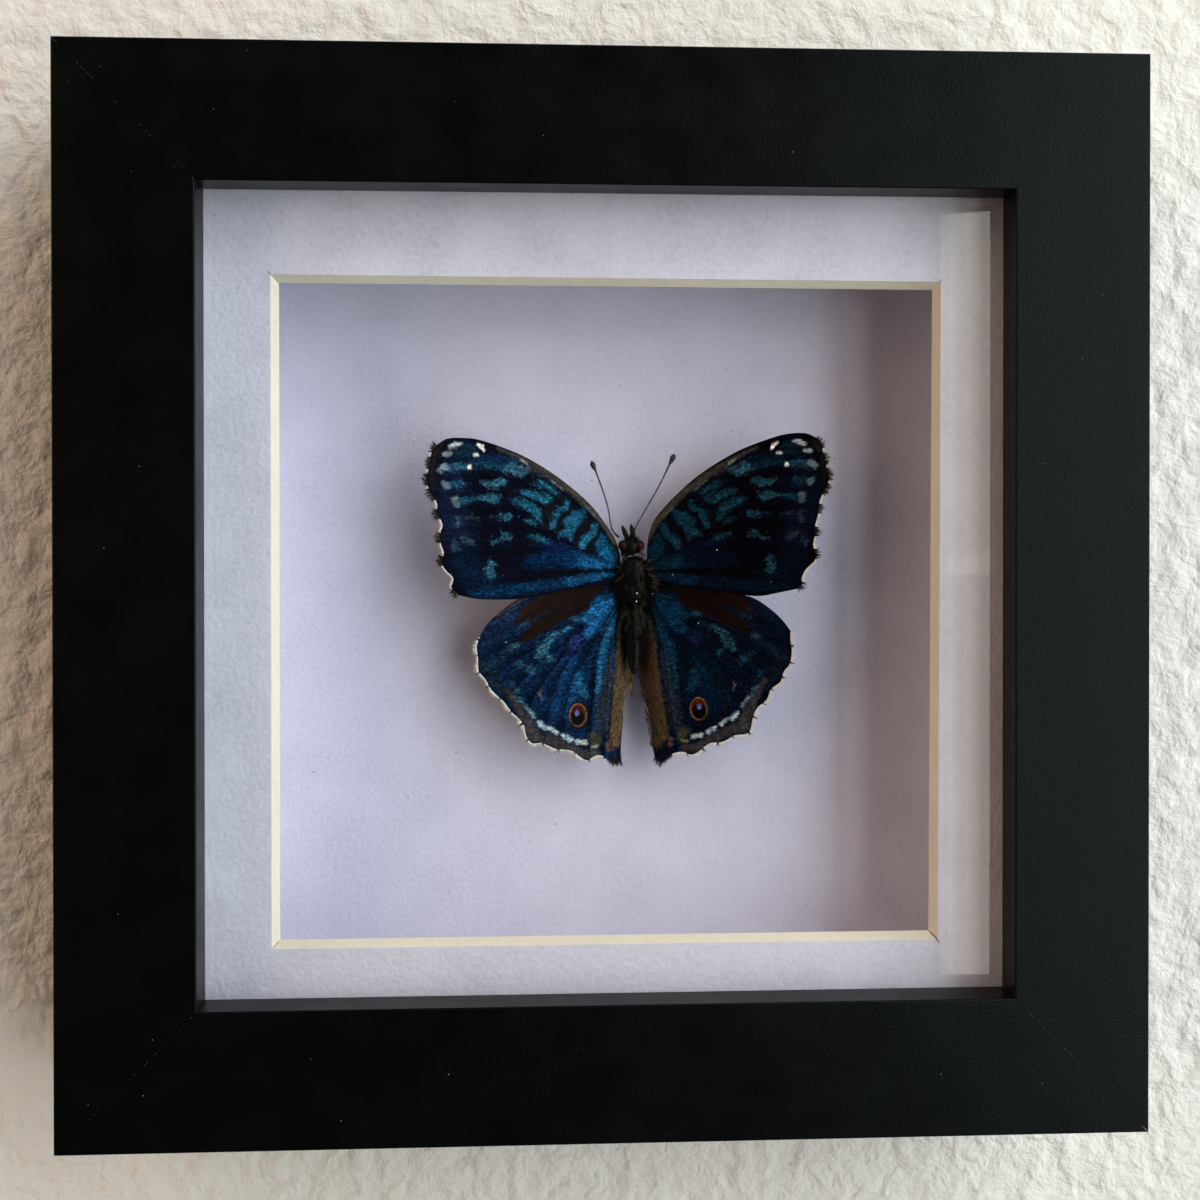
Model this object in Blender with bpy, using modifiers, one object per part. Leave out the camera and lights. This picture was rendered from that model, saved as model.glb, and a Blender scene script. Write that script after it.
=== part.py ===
"""Framed butterfly specimen: a square box frame with glass, a bevelled mat and a set butterfly.

Metres, +Z up. The glass looks along -Y and the rear rim of the frame lies on the plane Y = 0,
which is the wall. The origin is on that plane, behind the middle notch of the sawtooth hanger.
"""
import math

import bmesh
import bpy
from mathutils import Matrix, Vector

# Frame moulding
FRAME_SIDE = 0.150          # outside of the square frame
FRAME_DEPTH = 0.032         # wall to front face
FACE_WIDTH = 0.019          # width of the moulding seen from the front
LIP_THICKNESS = 0.0054      # front lip that holds the glass
REBATE_WALL = 0.013         # side wall behind the lip
ARRIS = 0.0004              # broken edge on the moulding
MITRE_GAP = 0.0003          # clearance across each mitre
HANG_DROP = 0.022           # top of the frame down to the hanging notch

# Layers behind the lip, front to back
GAP = 0.0003                # clearance between pieces that touch
GLASS_THICKNESS = 0.0020
MAT_THICKNESS = 0.0012
SPACER_DEPTH = 0.0145
SPACER_WIDTH = 0.0045
CARD_THICKNESS = 0.0015
BOARD_THICKNESS = 0.0030
SHEET_SIDE = 0.1232         # glass, mat, card and board, cut to sit in the rebate

# Window of the mat, cut with a bevel
WINDOW_FRONT = 0.0944
WINDOW_BACK = 0.0924
WINDOW_DROP = 0.0025        # the window sits below the middle of the frame

# Where the specimen sits
SPECIMEN_X = 0.0044
SPECIMEN_RISE = 0.0008      # above the middle of the frame
SPECIMEN_DEPTH = 0.0175     # front face of the frame back to the middle of the thorax
WING_THICKNESS = 0.00035
FOREWING_DIHEDRAL = math.radians(7)
HINDWING_DIHEDRAL = math.radians(5)
HINDWING_BEHIND = 0.0008    # the forewing laps over the hindwing
RIGHT_FOREWING_TURN = math.radians(2.7)
RIGHT_HINDWING_TURN = math.radians(1.5)

# Millimetres from the middle of the thorax, X away from the body and Z up, for a left wing
FOREWING_OUTLINE = [
    (2.3, 3.4), (3.2, 7.2), (5.5, 10.7), (8.9, 14.0), (12.5, 16.8), (17.1, 19.3), (22.4, 21.1),
    (26.5, 21.6), (29.1, 20.6), (30.4, 17.9), (30.3, 14.5), (29.1, 10.8), (28.7, 7.0), (28.3, 3.6),
    (26.9, 0.7), (25.6, -1.5), (21.0, -1.9), (16.0, -1.5), (10.0, -0.6), (5.5, 0.5), (2.9, 1.3),
]
HINDWING_OUTLINE = [
    (2.6, -0.6), (7.0, -0.6), (12.0, -0.9), (16.5, -1.5), (20.0, -3.0), (22.4, -5.6), (23.4, -8.5),
    (22.9, -12.2), (20.9, -15.5), (18.1, -18.6), (16.3, -21.4), (14.6, -23.2), (11.0, -24.3),
    (7.6, -25.4), (4.4, -25.5), (2.4, -26.2), (1.9, -22.5), (1.5, -17.0), (1.6, -11.0), (2.0, -6.0),
    (2.4, -2.6),
]

# Body: radius and height in millimetres, top to bottom, about the axis of the body
THORAX_PROFILE = [(0.0, 4.3), (1.1, 4.0), (1.7, 3.0), (2.05, 1.0), (2.05, -0.8), (1.6, -2.2), (0.0, -2.7)]
ABDOMEN_PROFILE = [
    (0.0, -3.1), (1.2, -3.3), (1.5, -4.6), (1.45, -7.0), (1.1, -10.0), (0.6, -12.6), (0.0, -13.4),
]
HEAD_PROFILE = [(0.0, 7.2), (0.9, 7.0), (1.55, 6.4), (1.7, 5.8), (1.4, 5.1), (0.7, 4.7), (0.0, 4.6)]
HEAD_ASIDE = -0.5           # the head is turned a little to the left
PALP_PROFILE = [(0.0, 1.1), (0.16, 0.7), (0.3, 0.0), (0.26, -0.6), (0.0, -0.8)]
# Each palp: side, X, Z and the lean of its tip towards -X in degrees
PALPS = [("left", -1.45, 8.2, 24), ("right", -0.3, 8.3, 14)]
ANTENNA_RADIUS = 0.00016
ANTENNA_CLUB = 2.9          # club radius as a multiple of the shaft
ANTENNA_BEHIND = 0.6        # the antennae leave the head behind the palps
LEFT_ANTENNA = [
    (-2.3, 7.1), (-3.1, 7.9), (-3.4, 9.0), (-3.8, 11.2), (-4.5, 13.8),
    (-5.7, 17.0), (-6.1, 18.0), (-6.3, 18.6),
]
RIGHT_ANTENNA = [
    (-0.3, 7.7), (0.3, 8.9), (1.8, 11.4), (3.2, 13.8), (4.4, 16.1),
    (5.2, 17.8), (5.7, 18.8), (6.0, 19.4),
]

# Behind the specimen
POST_SIZE = (0.0044, 0.0038, 0.0050)

# Back of the frame
TAB_SIZE = (0.0060, 0.0003, 0.0110)
TAB_SPREAD = 0.030          # each tab from the middle of its side
PLATE_SIZE = (0.040, 0.0010, 0.0085)
NOTCH_COUNT = 9
NOTCH_PITCH = 0.0030
NAIL_SPREAD = 0.0165
NAIL_RISE = 0.0030
NAIL_RADIUS = 0.0021
NAIL_HEAD = 0.0006

MM = 0.001
CENTRE_Z = HANG_DROP - FRAME_SIDE / 2
FRONT_Y = -FRAME_DEPTH
LIP_BACK = FRONT_Y + LIP_THICKNESS
GLASS_Y = LIP_BACK + GAP + GLASS_THICKNESS / 2
MAT_FRONT = GLASS_Y + GLASS_THICKNESS / 2 + GAP
MAT_Y = MAT_FRONT + MAT_THICKNESS / 2
SPACER_Y = MAT_Y + MAT_THICKNESS / 2 + GAP + SPACER_DEPTH / 2
CARD_Y = SPACER_Y + SPACER_DEPTH / 2 + GAP + CARD_THICKNESS / 2
BOARD_Y = CARD_Y + CARD_THICKNESS / 2 + GAP + BOARD_THICKNESS / 2
BOARD_BACK = BOARD_Y + BOARD_THICKNESS / 2
SPECIMEN = Vector((SPECIMEN_X, FRONT_Y + SPECIMEN_DEPTH, CENTRE_Z + SPECIMEN_RISE))
MIDDLE = Vector((0, 0, CENTRE_Z))
UPRIGHT = Matrix.Rotation(math.radians(90), 4, "X")   # a flat outline turned to face -Y

for old in list(bpy.data.objects):
    bpy.data.objects.remove(old, do_unlink=True)

parts = bpy.data.collections.new("framed_butterfly")
cutters = bpy.data.collections.new("cutters")
bpy.context.scene.collection.children.link(parts)
bpy.context.scene.collection.children.link(cutters)


def material(name, colour, roughness, metallic=0.0):
    made = bpy.data.materials.new(name)
    made.use_nodes = True
    shader = made.node_tree.nodes["Principled BSDF"]
    shader.inputs["Base Color"].default_value = (*colour, 1)
    shader.inputs["Roughness"].default_value = roughness
    shader.inputs["Metallic"].default_value = metallic
    made.diffuse_color = (*colour, 1)
    return made


BLACK_PAINT = material("black_satin_paint", (0.012, 0.013, 0.014), 0.42)
GLASS = material("picture_glass", (0.9, 0.95, 0.94), 0.02)
MAT_BOARD = material("mat_board", (0.56, 0.55, 0.64), 0.9)
FOAM = material("white_foam_board", (0.75, 0.75, 0.76), 0.85)
CARD = material("lilac_card", (0.47, 0.46, 0.58), 0.92)
HARDBOARD = material("hardboard", (0.16, 0.09, 0.05), 0.8)
STEEL = material("zinc_plated_steel", (0.55, 0.55, 0.54), 0.35, 1.0)
CORK = material("cork", (0.35, 0.22, 0.12), 0.9)
BODY_HAIR = material("body_hair", (0.02, 0.02, 0.018), 0.8)
WING = material("blue_wing_scales", (0.01, 0.06, 0.22), 0.5)
HORN = material("antenna_horn", (0.02, 0.015, 0.012), 0.5)


def finish(thing, made):
    """Give an object its material and move it to the collection of parts."""
    for home in list(thing.users_collection):
        home.objects.unlink(thing)
    parts.objects.link(thing)
    thing.data.materials.clear()
    thing.data.materials.append(made)
    return thing


def box(name, size, centre, made):
    bpy.ops.mesh.primitive_cube_add(size=1, location=centre)
    thing = bpy.context.object
    thing.name = name
    thing.scale = size
    bpy.ops.object.transform_apply(location=False, rotation=False, scale=True)
    return finish(thing, made)


def cut(thing, cutter):
    """Take a cutter out of an object and keep the cutter as a guide."""
    cutter.hide_render = True
    cutter.display_type = "WIRE"
    for home in list(cutter.users_collection):
        home.objects.unlink(cutter)
    cutters.objects.link(cutter)
    take = thing.modifiers.new("cut_" + cutter.name, "BOOLEAN")
    take.operation = "DIFFERENCE"
    take.solver = "EXACT"
    take.object = cutter


def outline_curve(name, points, thickness):
    """A closed flat outline in its own XY plane, filled and given a thickness."""
    curve = bpy.data.curves.new(name, "CURVE")
    curve.dimensions = "2D"
    curve.fill_mode = "BOTH"
    curve.extrude = thickness / 2
    spline = curve.splines.new("POLY")
    spline.points.add(len(points) - 1)
    for place, (x, y) in zip(spline.points, points):
        place.co = (x, y, 0, 1)
    spline.use_cyclic_u = True
    thing = bpy.data.objects.new(name, curve)
    bpy.context.scene.collection.objects.link(thing)
    return thing


def curve_to_mesh(thing):
    """Replace a curve object by a welded mesh object of the same name and place."""
    graph = bpy.context.evaluated_depsgraph_get()
    mesh = bpy.data.meshes.new_from_object(thing.evaluated_get(graph))
    name = thing.name
    place = thing.matrix_world.copy()
    bpy.data.objects.remove(thing, do_unlink=True)
    work = bmesh.new()
    work.from_mesh(mesh)
    bmesh.ops.remove_doubles(work, verts=work.verts, dist=1e-6)
    work.to_mesh(mesh)
    work.free()
    made = bpy.data.objects.new(name, mesh)
    made.matrix_world = place
    bpy.context.scene.collection.objects.link(made)
    return made


def smooth_loop(points, steps=3):
    """Points on a closed Catmull-Rom curve through the given points."""
    count = len(points)
    out = []
    for i in range(count):
        a, b, c, d = (Vector(points[(i + k) % count]) for k in (-1, 0, 1, 2))
        for step in range(steps):
            t = step / steps
            bend = (2 * a - 5 * b + 4 * c - d) * t * t + (3 * b - a - 3 * c + d) * t ** 3
            out.append(0.5 * (2 * b + (c - a) * t + bend))
    return out


# Moulding: one L-shaped section, cut to length with a mitre at each end
def make_rail(name, quarter_turns):
    half = FRAME_SIDE / 2
    # (distance in from the outer side, distance back from the front face)
    section = [
        (0, ARRIS), (ARRIS, 0),
        (FACE_WIDTH - ARRIS, 0), (FACE_WIDTH, ARRIS),
        (FACE_WIDTH, LIP_THICKNESS), (REBATE_WALL, LIP_THICKNESS),
        (REBATE_WALL, FRAME_DEPTH), (0, FRAME_DEPTH),
    ]
    thing = curve_to_mesh(outline_curve(name, section, FRAME_SIDE))
    work = bmesh.new()
    work.from_mesh(thing.data)
    # The curve's X runs down from the top of the frame, its Y back from the face, its Z along the rail
    swing = Matrix(((0, 0, 1, 0), (0, 1, 0, FRONT_Y), (-1, 0, 0, half), (0, 0, 0, 1)))
    bmesh.ops.transform(work, matrix=swing, verts=work.verts)
    for side in (-1, 1):
        corner = Vector((side * (half - MITRE_GAP / math.sqrt(2)), 0, half))
        bmesh.ops.bisect_plane(
            work, geom=work.verts[:] + work.edges[:] + work.faces[:], dist=1e-7,
            plane_co=corner, plane_no=Vector((side, 0, -1)), clear_outer=True)
        rim = [edge for edge in work.edges if edge.is_boundary]
        bmesh.ops.holes_fill(work, edges=rim)
    turn = Matrix.Translation(MIDDLE) @ Matrix.Rotation(math.radians(90) * quarter_turns, 4, "Y")
    bmesh.ops.transform(work, matrix=turn, verts=work.verts)
    bmesh.ops.recalc_face_normals(work, faces=work.faces)
    work.to_mesh(thing.data)
    work.free()
    return finish(thing, BLACK_PAINT)


for quarter_turns, side_name in enumerate(("top", "right", "bottom", "left")):
    make_rail("rail_" + side_name, quarter_turns)

# Glazing, mat and the case behind it
box("glass", (SHEET_SIDE, GLASS_THICKNESS, SHEET_SIDE), (0, GLASS_Y, CENTRE_Z), GLASS)

mat = box("mat", (SHEET_SIDE, MAT_THICKNESS, SHEET_SIDE), (0, MAT_Y, CENTRE_Z), MAT_BOARD)
flare = (WINDOW_FRONT - WINDOW_BACK) / MAT_THICKNESS     # growth of the window per metre of depth
overrun = 0.001
bpy.ops.mesh.primitive_cone_add(
    vertices=4, depth=MAT_THICKNESS + 2 * overrun,
    radius1=(WINDOW_FRONT + flare * overrun) / math.sqrt(2),
    radius2=(WINDOW_BACK - flare * overrun) / math.sqrt(2),
    rotation=(0, 0, math.radians(45)))
window = bpy.context.object
window.name = "mat_window"
bpy.ops.object.transform_apply(rotation=True)
window.rotation_euler = (math.radians(-90), 0, 0)        # wide end to the front
window.location = (0, MAT_Y, CENTRE_Z - WINDOW_DROP)
cut(mat, window)

SPACER_MIDDLE = (SHEET_SIDE - SPACER_WIDTH) / 2
UPRIGHT_LENGTH = SHEET_SIDE - 2 * SPACER_WIDTH - 2 * GAP
for side_name, sign in (("top", 1), ("bottom", -1)):
    place = (0, SPACER_Y, CENTRE_Z + sign * SPACER_MIDDLE)
    box("spacer_" + side_name, (SHEET_SIDE, SPACER_DEPTH, SPACER_WIDTH), place, FOAM)
for side_name, sign in (("right", 1), ("left", -1)):
    place = (sign * SPACER_MIDDLE, SPACER_Y, CENTRE_Z)
    box("spacer_" + side_name, (SPACER_WIDTH, SPACER_DEPTH, UPRIGHT_LENGTH), place, FOAM)

box("backing_card", (SHEET_SIDE, CARD_THICKNESS, SHEET_SIDE), (0, CARD_Y, CENTRE_Z), CARD)
box("back_board", (SHEET_SIDE, BOARD_THICKNESS, SHEET_SIDE), (0, BOARD_Y, CENTRE_Z), HARDBOARD)

# Flat steel tabs pressed into the rebate walls, two a side, hold the stack in
TAB_Y = BOARD_BACK + GAP + TAB_SIZE[1] / 2
TAB_REACH = FRAME_SIDE / 2 - REBATE_WALL - GAP - TAB_SIZE[2] / 2
for quarter_turns, side_name in enumerate(("top", "right", "bottom", "left")):
    turn = Matrix.Rotation(math.radians(90) * quarter_turns, 4, "Y")
    for sign, letter in ((-1, "a"), (1, "b")):
        size = TAB_SIZE if quarter_turns % 2 == 0 else (TAB_SIZE[2], TAB_SIZE[1], TAB_SIZE[0])
        place = MIDDLE + turn @ Vector((sign * TAB_SPREAD, 0, TAB_REACH))
        box("tab_" + side_name + "_" + letter, size, (place.x, TAB_Y, place.z), STEEL)


# Sawtooth hanger nailed to the back board; the origin is level with its middle notch
def make_hanger():
    half_width = PLATE_SIZE[0] / 2
    depth = NOTCH_PITCH / 2
    toothed = NOTCH_COUNT * NOTCH_PITCH / 2
    top = PLATE_SIZE[2] - depth
    points = [(half_width, top), (-half_width, top), (-half_width, -depth)]
    for notch in range(NOTCH_COUNT):
        left = -toothed + notch * NOTCH_PITCH
        points.append((left, -depth))
        points.append((left + NOTCH_PITCH / 2, 0))
    points.append((toothed, -depth))
    points.append((half_width, -depth))
    thing = outline_curve("hanger_plate", points, PLATE_SIZE[1])
    plate_y = BOARD_BACK + GAP + PLATE_SIZE[1] / 2
    thing.matrix_world = Matrix.Translation((0, plate_y, 0)) @ UPRIGHT
    thing = finish(curve_to_mesh(thing), STEEL)
    nail_y = plate_y + PLATE_SIZE[1] / 2 + GAP + NAIL_HEAD / 2
    for sign, side in ((-1, "left"), (1, "right")):
        bpy.ops.mesh.primitive_cylinder_add(
            vertices=20, radius=NAIL_RADIUS, depth=NAIL_HEAD,
            location=(sign * NAIL_SPREAD, nail_y, NAIL_RISE), rotation=(math.radians(90), 0, 0))
        nail = bpy.context.object
        nail.name = "hanger_nail_" + side
        finish(nail, STEEL)


make_hanger()

# Cork post glued to the card, out of sight behind the thorax
CARD_FRONT = CARD_Y - CARD_THICKNESS / 2
post_centre = (SPECIMEN.x, CARD_FRONT - GAP - POST_SIZE[1] / 2, SPECIMEN.z)
box("mounting_post", POST_SIZE, post_centre, CORK)


# Wings: flat plates, each leaning forward from the body
def make_wing(name, outline, sign, dihedral, behind, turn):
    points = [Vector((sign * x * MM, z * MM)) for x, z in smooth_loop(outline, 2)]
    thing = outline_curve(name, points, WING_THICKNESS)
    lean = Matrix.Rotation(-sign * dihedral, 4, "Z")
    spin = Matrix.Rotation(-sign * turn, 4, "Y")
    thing.matrix_world = Matrix.Translation(SPECIMEN + Vector((0, behind, 0))) @ lean @ spin @ UPRIGHT
    return finish(curve_to_mesh(thing), WING)


make_wing("forewing_left", FOREWING_OUTLINE, -1, FOREWING_DIHEDRAL, 0, 0)
make_wing("forewing_right", FOREWING_OUTLINE, 1, FOREWING_DIHEDRAL, 0, RIGHT_FOREWING_TURN)
make_wing("hindwing_left", HINDWING_OUTLINE, -1, HINDWING_DIHEDRAL, HINDWING_BEHIND, 0)
make_wing("hindwing_right", HINDWING_OUTLINE, 1, HINDWING_DIHEDRAL, HINDWING_BEHIND, RIGHT_HINDWING_TURN)


# Body: turned shapes on the axis of the butterfly
def make_turned(name, profile, place, made, steps=20):
    mesh = bpy.data.meshes.new(name)
    work = bmesh.new()
    ring = [work.verts.new((radius * MM, 0, height * MM)) for radius, height in profile]
    for upper, lower in zip(ring, ring[1:]):
        work.edges.new((upper, lower))
    work.to_mesh(mesh)
    work.free()
    thing = bpy.data.objects.new(name, mesh)
    bpy.context.scene.collection.objects.link(thing)
    thing.matrix_world = place
    screw = thing.modifiers.new("turn", "SCREW")
    screw.steps = steps
    screw.render_steps = steps
    screw.use_merge_vertices = True
    screw.merge_threshold = 1e-6
    screw.use_smooth_shade = True
    return finish(thing, made)


at_specimen = Matrix.Translation(SPECIMEN)
make_turned("thorax", THORAX_PROFILE, at_specimen, BODY_HAIR)
make_turned("abdomen", ABDOMEN_PROFILE, at_specimen, BODY_HAIR)
make_turned("head", HEAD_PROFILE, at_specimen @ Matrix.Translation((HEAD_ASIDE * MM, 0, 0)), BODY_HAIR)
for side, x, z, tilt in PALPS:
    lean = Matrix.Rotation(math.radians(-tilt), 4, "Y")
    place = at_specimen @ Matrix.Translation((x * MM, -0.4 * MM, z * MM)) @ lean
    make_turned("palp_" + side, PALP_PROFILE, place, BODY_HAIR, 12)


def make_antenna(name, route):
    """A tapered wire that swells to a club over its last three points."""
    curve = bpy.data.curves.new(name, "CURVE")
    curve.dimensions = "3D"
    curve.bevel_depth = ANTENNA_RADIUS
    curve.bevel_resolution = 2
    curve.use_fill_caps = True
    spline = curve.splines.new("POLY")
    spline.points.add(len(route) - 1)
    swell = [1.0] * (len(route) - 3) + [1.0, ANTENNA_CLUB, 0.45 * ANTENNA_CLUB]
    for place, (x, z), radius in zip(spline.points, route, swell):
        place.co = (x * MM, ANTENNA_BEHIND * MM, z * MM, 1)
        place.radius = radius
    thing = bpy.data.objects.new(name, curve)
    thing.location = SPECIMEN
    bpy.context.scene.collection.objects.link(thing)
    return finish(thing, HORN)


make_antenna("antenna_left", LEFT_ANTENNA)
make_antenna("antenna_right", RIGHT_ANTENNA)
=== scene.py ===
"""A brilliant blue pansy butterfly, spread and set in a square black box frame on a plastered wall."""
import math

import bmesh
import bpy
import numpy as np
from mathutils import Matrix, Vector


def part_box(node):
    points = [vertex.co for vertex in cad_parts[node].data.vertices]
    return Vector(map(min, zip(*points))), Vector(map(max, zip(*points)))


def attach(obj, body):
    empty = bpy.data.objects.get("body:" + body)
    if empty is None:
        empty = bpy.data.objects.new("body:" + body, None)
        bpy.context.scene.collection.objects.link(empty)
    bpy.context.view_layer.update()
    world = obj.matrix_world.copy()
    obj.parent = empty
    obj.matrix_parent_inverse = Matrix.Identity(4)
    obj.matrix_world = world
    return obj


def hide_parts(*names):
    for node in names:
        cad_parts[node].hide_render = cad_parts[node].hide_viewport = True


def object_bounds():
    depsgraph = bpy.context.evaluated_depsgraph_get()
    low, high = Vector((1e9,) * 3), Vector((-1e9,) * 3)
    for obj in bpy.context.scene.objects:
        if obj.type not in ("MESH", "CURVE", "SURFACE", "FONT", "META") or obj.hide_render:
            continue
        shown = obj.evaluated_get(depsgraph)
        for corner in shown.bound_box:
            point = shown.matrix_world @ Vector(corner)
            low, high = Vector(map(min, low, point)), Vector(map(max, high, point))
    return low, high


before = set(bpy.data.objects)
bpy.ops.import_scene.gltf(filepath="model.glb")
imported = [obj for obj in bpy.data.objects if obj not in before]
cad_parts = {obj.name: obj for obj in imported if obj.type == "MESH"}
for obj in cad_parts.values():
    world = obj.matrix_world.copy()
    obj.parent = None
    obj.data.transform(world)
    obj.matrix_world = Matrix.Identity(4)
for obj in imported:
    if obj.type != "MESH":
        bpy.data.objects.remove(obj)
cad_low, cad_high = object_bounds()


# ---- Camera ----------------------------------------------------------------------------------------------
# It stands 20 cm in front of the frame, a little left of the middle and above it, and is turned back to
# the right. Its film is shifted down a little, which keeps the uprights upright.
mm = 0.001
camera_body = bpy.data.cameras.new("camera")
camera_body.lens = 43.785
camera_body.sensor_width = 36
camera_body.shift_y = -0.0517
camera_body.clip_start = 10 * mm
camera = bpy.data.objects.new("camera", camera_body)
camera.location = (-11.65 * mm, -230.63 * mm, -43.77 * mm)
camera.rotation_euler = (math.radians(89.613), math.radians(0.03), math.radians(-2.914))
bpy.context.scene.collection.objects.link(camera)
bpy.context.scene.camera = camera


# ---- Wall, floor and light -------------------------------------------------------------------------------
# A plastered wall rolled with matt white emulsion, which leaves a soft stipple. Soft panels stand in for a
# tall window of two panes and a curtained door on the right, a warm lamp on the left and the room behind.
def tone(code, strength=1.0):
    """An sRGB hex colour as linear red, green, blue and alpha."""
    parts = [int(code[i:i + 2], 16) / 255 for i in (0, 2, 4)]
    linear = [c / 12.92 if c <= 0.04045 else ((c + 0.055) / 1.055) ** 2.4 for c in parts]
    return [strength * c for c in linear] + [1.0]


def add_node(tree, kind, inputs=None, **settings):
    """Adds a node. Settings are its own properties. Inputs maps a socket to a value or another's output."""
    node = tree.nodes.new(kind)
    for key, value in settings.items():
        setattr(node, key, value)
    for socket, value in (inputs or {}).items():
        if isinstance(value, bpy.types.NodeSocket):
            tree.links.new(value, node.inputs[socket])
        else:
            node.inputs[socket].default_value = value
    return node


def new_finish(name, **values):
    """A material with its shader's plain values set. Returns it with its node tree and its shader."""
    finish = bpy.data.materials.new(name)
    finish.use_nodes = True
    shader = finish.node_tree.nodes["Principled BSDF"]
    for socket, value in values.items():
        shader.inputs[socket.replace("_", " ")].default_value = value
    return finish, finish.node_tree, shader


def add_piece(name, bm, *finishes, smooth=True):
    """Makes a bmesh into an object at the origin, with its finishes, and puts it in the scene."""
    mesh = bpy.data.meshes.new(name)
    bm.to_mesh(mesh)
    bm.free()
    for finish in finishes:
        mesh.materials.append(finish)
    mesh.polygons.foreach_set("use_smooth", [smooth] * len(mesh.polygons))
    piece = bpy.data.objects.new(name, mesh)
    bpy.context.scene.collection.objects.link(piece)
    return piece


def stippled_emulsion():
    """Matt emulsion rolled on plaster: soft bumps 2 to 3 mm across with a finer grain on them."""
    finish, tree, shader = new_finish("rolled_matt_emulsion", Roughness=0.9, Specular_IOR_Level=0.2)
    shader.inputs["Base Color"].default_value = tone("e9e8e3")
    place = add_node(tree, "ShaderNodeTexCoord").outputs["Object"]
    stipple = add_node(tree, "ShaderNodeTexNoise", {"Vector": place, "Scale": 1 / (4 * mm), "Detail": 5.0,
                                                    "Roughness": 0.5, "Distortion": 0.2})
    bump = add_node(tree, "ShaderNodeBump", {"Height": stipple.outputs["Fac"], "Distance": 1.6 * mm,
                                             "Strength": 0.9})
    tree.links.new(bump.outputs["Normal"], shader.inputs["Normal"])
    side = add_node(tree, "ShaderNodeNewGeometry").outputs["Backfacing"]
    clear = add_node(tree, "ShaderNodeBsdfTransparent")
    both = add_node(tree, "ShaderNodeMixShader", {0: side, 1: shader.outputs[0], 2: clear.outputs[0]})
    tree.links.new(both.outputs[0], tree.nodes["Material Output"].inputs["Surface"])
    return finish


wall_half, wall_gap = 1.6, 0.6 * mm
upright = Matrix.Rotation(math.pi / 2, 4, "X")
bm = bmesh.new()
bmesh.ops.create_grid(bm, x_segments=1, y_segments=1, size=wall_half,
                      matrix=Matrix.Translation((0, wall_gap, 0)) @ upright)
wall = add_piece("wall", bm, stippled_emulsion(), smooth=False)
for ray in ("visible_diffuse", "visible_glossy", "visible_transmission", "visible_shadow"):
    setattr(wall, ray, False)

floor_finish, tree, shader = new_finish("pale_matt_floor", Roughness=0.9)
shader.inputs["Base Color"].default_value = tone("dcdad4")
floor_half, floor_height = 4, -1.3
bm = bmesh.new()
bmesh.ops.create_grid(bm, x_segments=1, y_segments=1, size=floor_half,
                      matrix=Matrix.Translation((0, 0, floor_height)))
floor = add_piece("floor", bm, floor_finish, smooth=False)
for ray in ("visible_diffuse", "visible_glossy"):
    setattr(floor, ray, False)


def soft_panel(name, place, aim, wide, high, glow, colour):
    """A flat panel light whose face gives off glow, in W per square metre and steradian."""
    lamp = bpy.data.lights.new(name, "AREA")
    lamp.shape = "RECTANGLE"
    lamp.size = wide
    lamp.size_y = high
    lamp.energy = glow * math.pi * wide * high
    lamp.color = colour
    panel = bpy.data.objects.new(name, lamp)
    panel.location = place
    panel.rotation_euler = (Vector(aim) - Vector(place)).to_track_quat("-Z", "Y").to_euler()
    panel.visible_camera = False
    bpy.context.scene.collection.objects.link(panel)


daylight, curtained, lamplight = (0.94, 1.0, 1.0), (1.0, 0.98, 0.9), (1.0, 0.72, 0.52)
case_middle, glass_depth = (0, 0, -0.05), -0.026

# The window's panes, each with its foot, its head and its glow.
window_right, window_depth, window_wide = 0.819, -0.6, 0.73
window_panes = {"window_upper_pane": (0.08, 1.45, 5.1), "window_lower_pane": (-1.25, 0.04, 2.8)}
for name, (foot, head, glow) in window_panes.items():
    middle = (foot + head) / 2
    soft_panel(name, (window_right, window_depth, middle), (0, glass_depth, middle), window_wide, head - foot,
               glow, daylight)

# A glazed door further round: the glass mirrors its near edge, which a net curtain softens. The strips stand
# side by side from that edge on, and each gives its start, width and glow. Each is in five lengths, each with
# its foot, its head and its share of the glow, for a bright bar crosses the door with shade below it.
door_edge, door_run = Vector((0.302, -0.8916, 0)), Vector((0.922, 0.387, 0))
door_strips = {
    "curtain_tail": (-0.006, 0.006, 1.6),
    "curtain_hem": (0, 0.007, 2.9),
    "curtain_edge": (0.007, 0.0035, 3.4),
    "door_bright": (0.0105, 0.0055, 4.0),
    "door_middle": (0.016, 0.0055, 3.5),
    "door_dim": (0.0215, 0.0095, 3.1),
}
door_lengths = {
    "top": (-0.06, 0.189, 1),
    "bar_head": (-0.066, -0.06, 1.12),
    "bar": (-0.078, -0.066, 1.28),
    "shade": (-0.11, -0.078, 0.9),
    "foot": (-0.42, -0.11, 0.94),
}
for strip, (start, wide, glow) in door_strips.items():
    for length, (foot, head, share) in door_lengths.items():
        spot = door_edge + door_run * (start + wide / 2)
        spot.z = (foot + head) / 2
        soft_panel(f"{strip}_{length}", spot, (0, glass_depth, spot.z), wide, head - foot, glow * share,
                   curtained)

# The rest of the door, which the frame's lip hides from the glass.
rest_start, rest_wide, rest_middle, rest_high = 0.031, 0.169, -0.03, 0.78
spot = door_edge + door_run * (rest_start + rest_wide / 2)
spot.z = rest_middle
soft_panel("door_rest", spot, (0, glass_depth, rest_middle), rest_wide, rest_high, 2.85, curtained)

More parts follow.
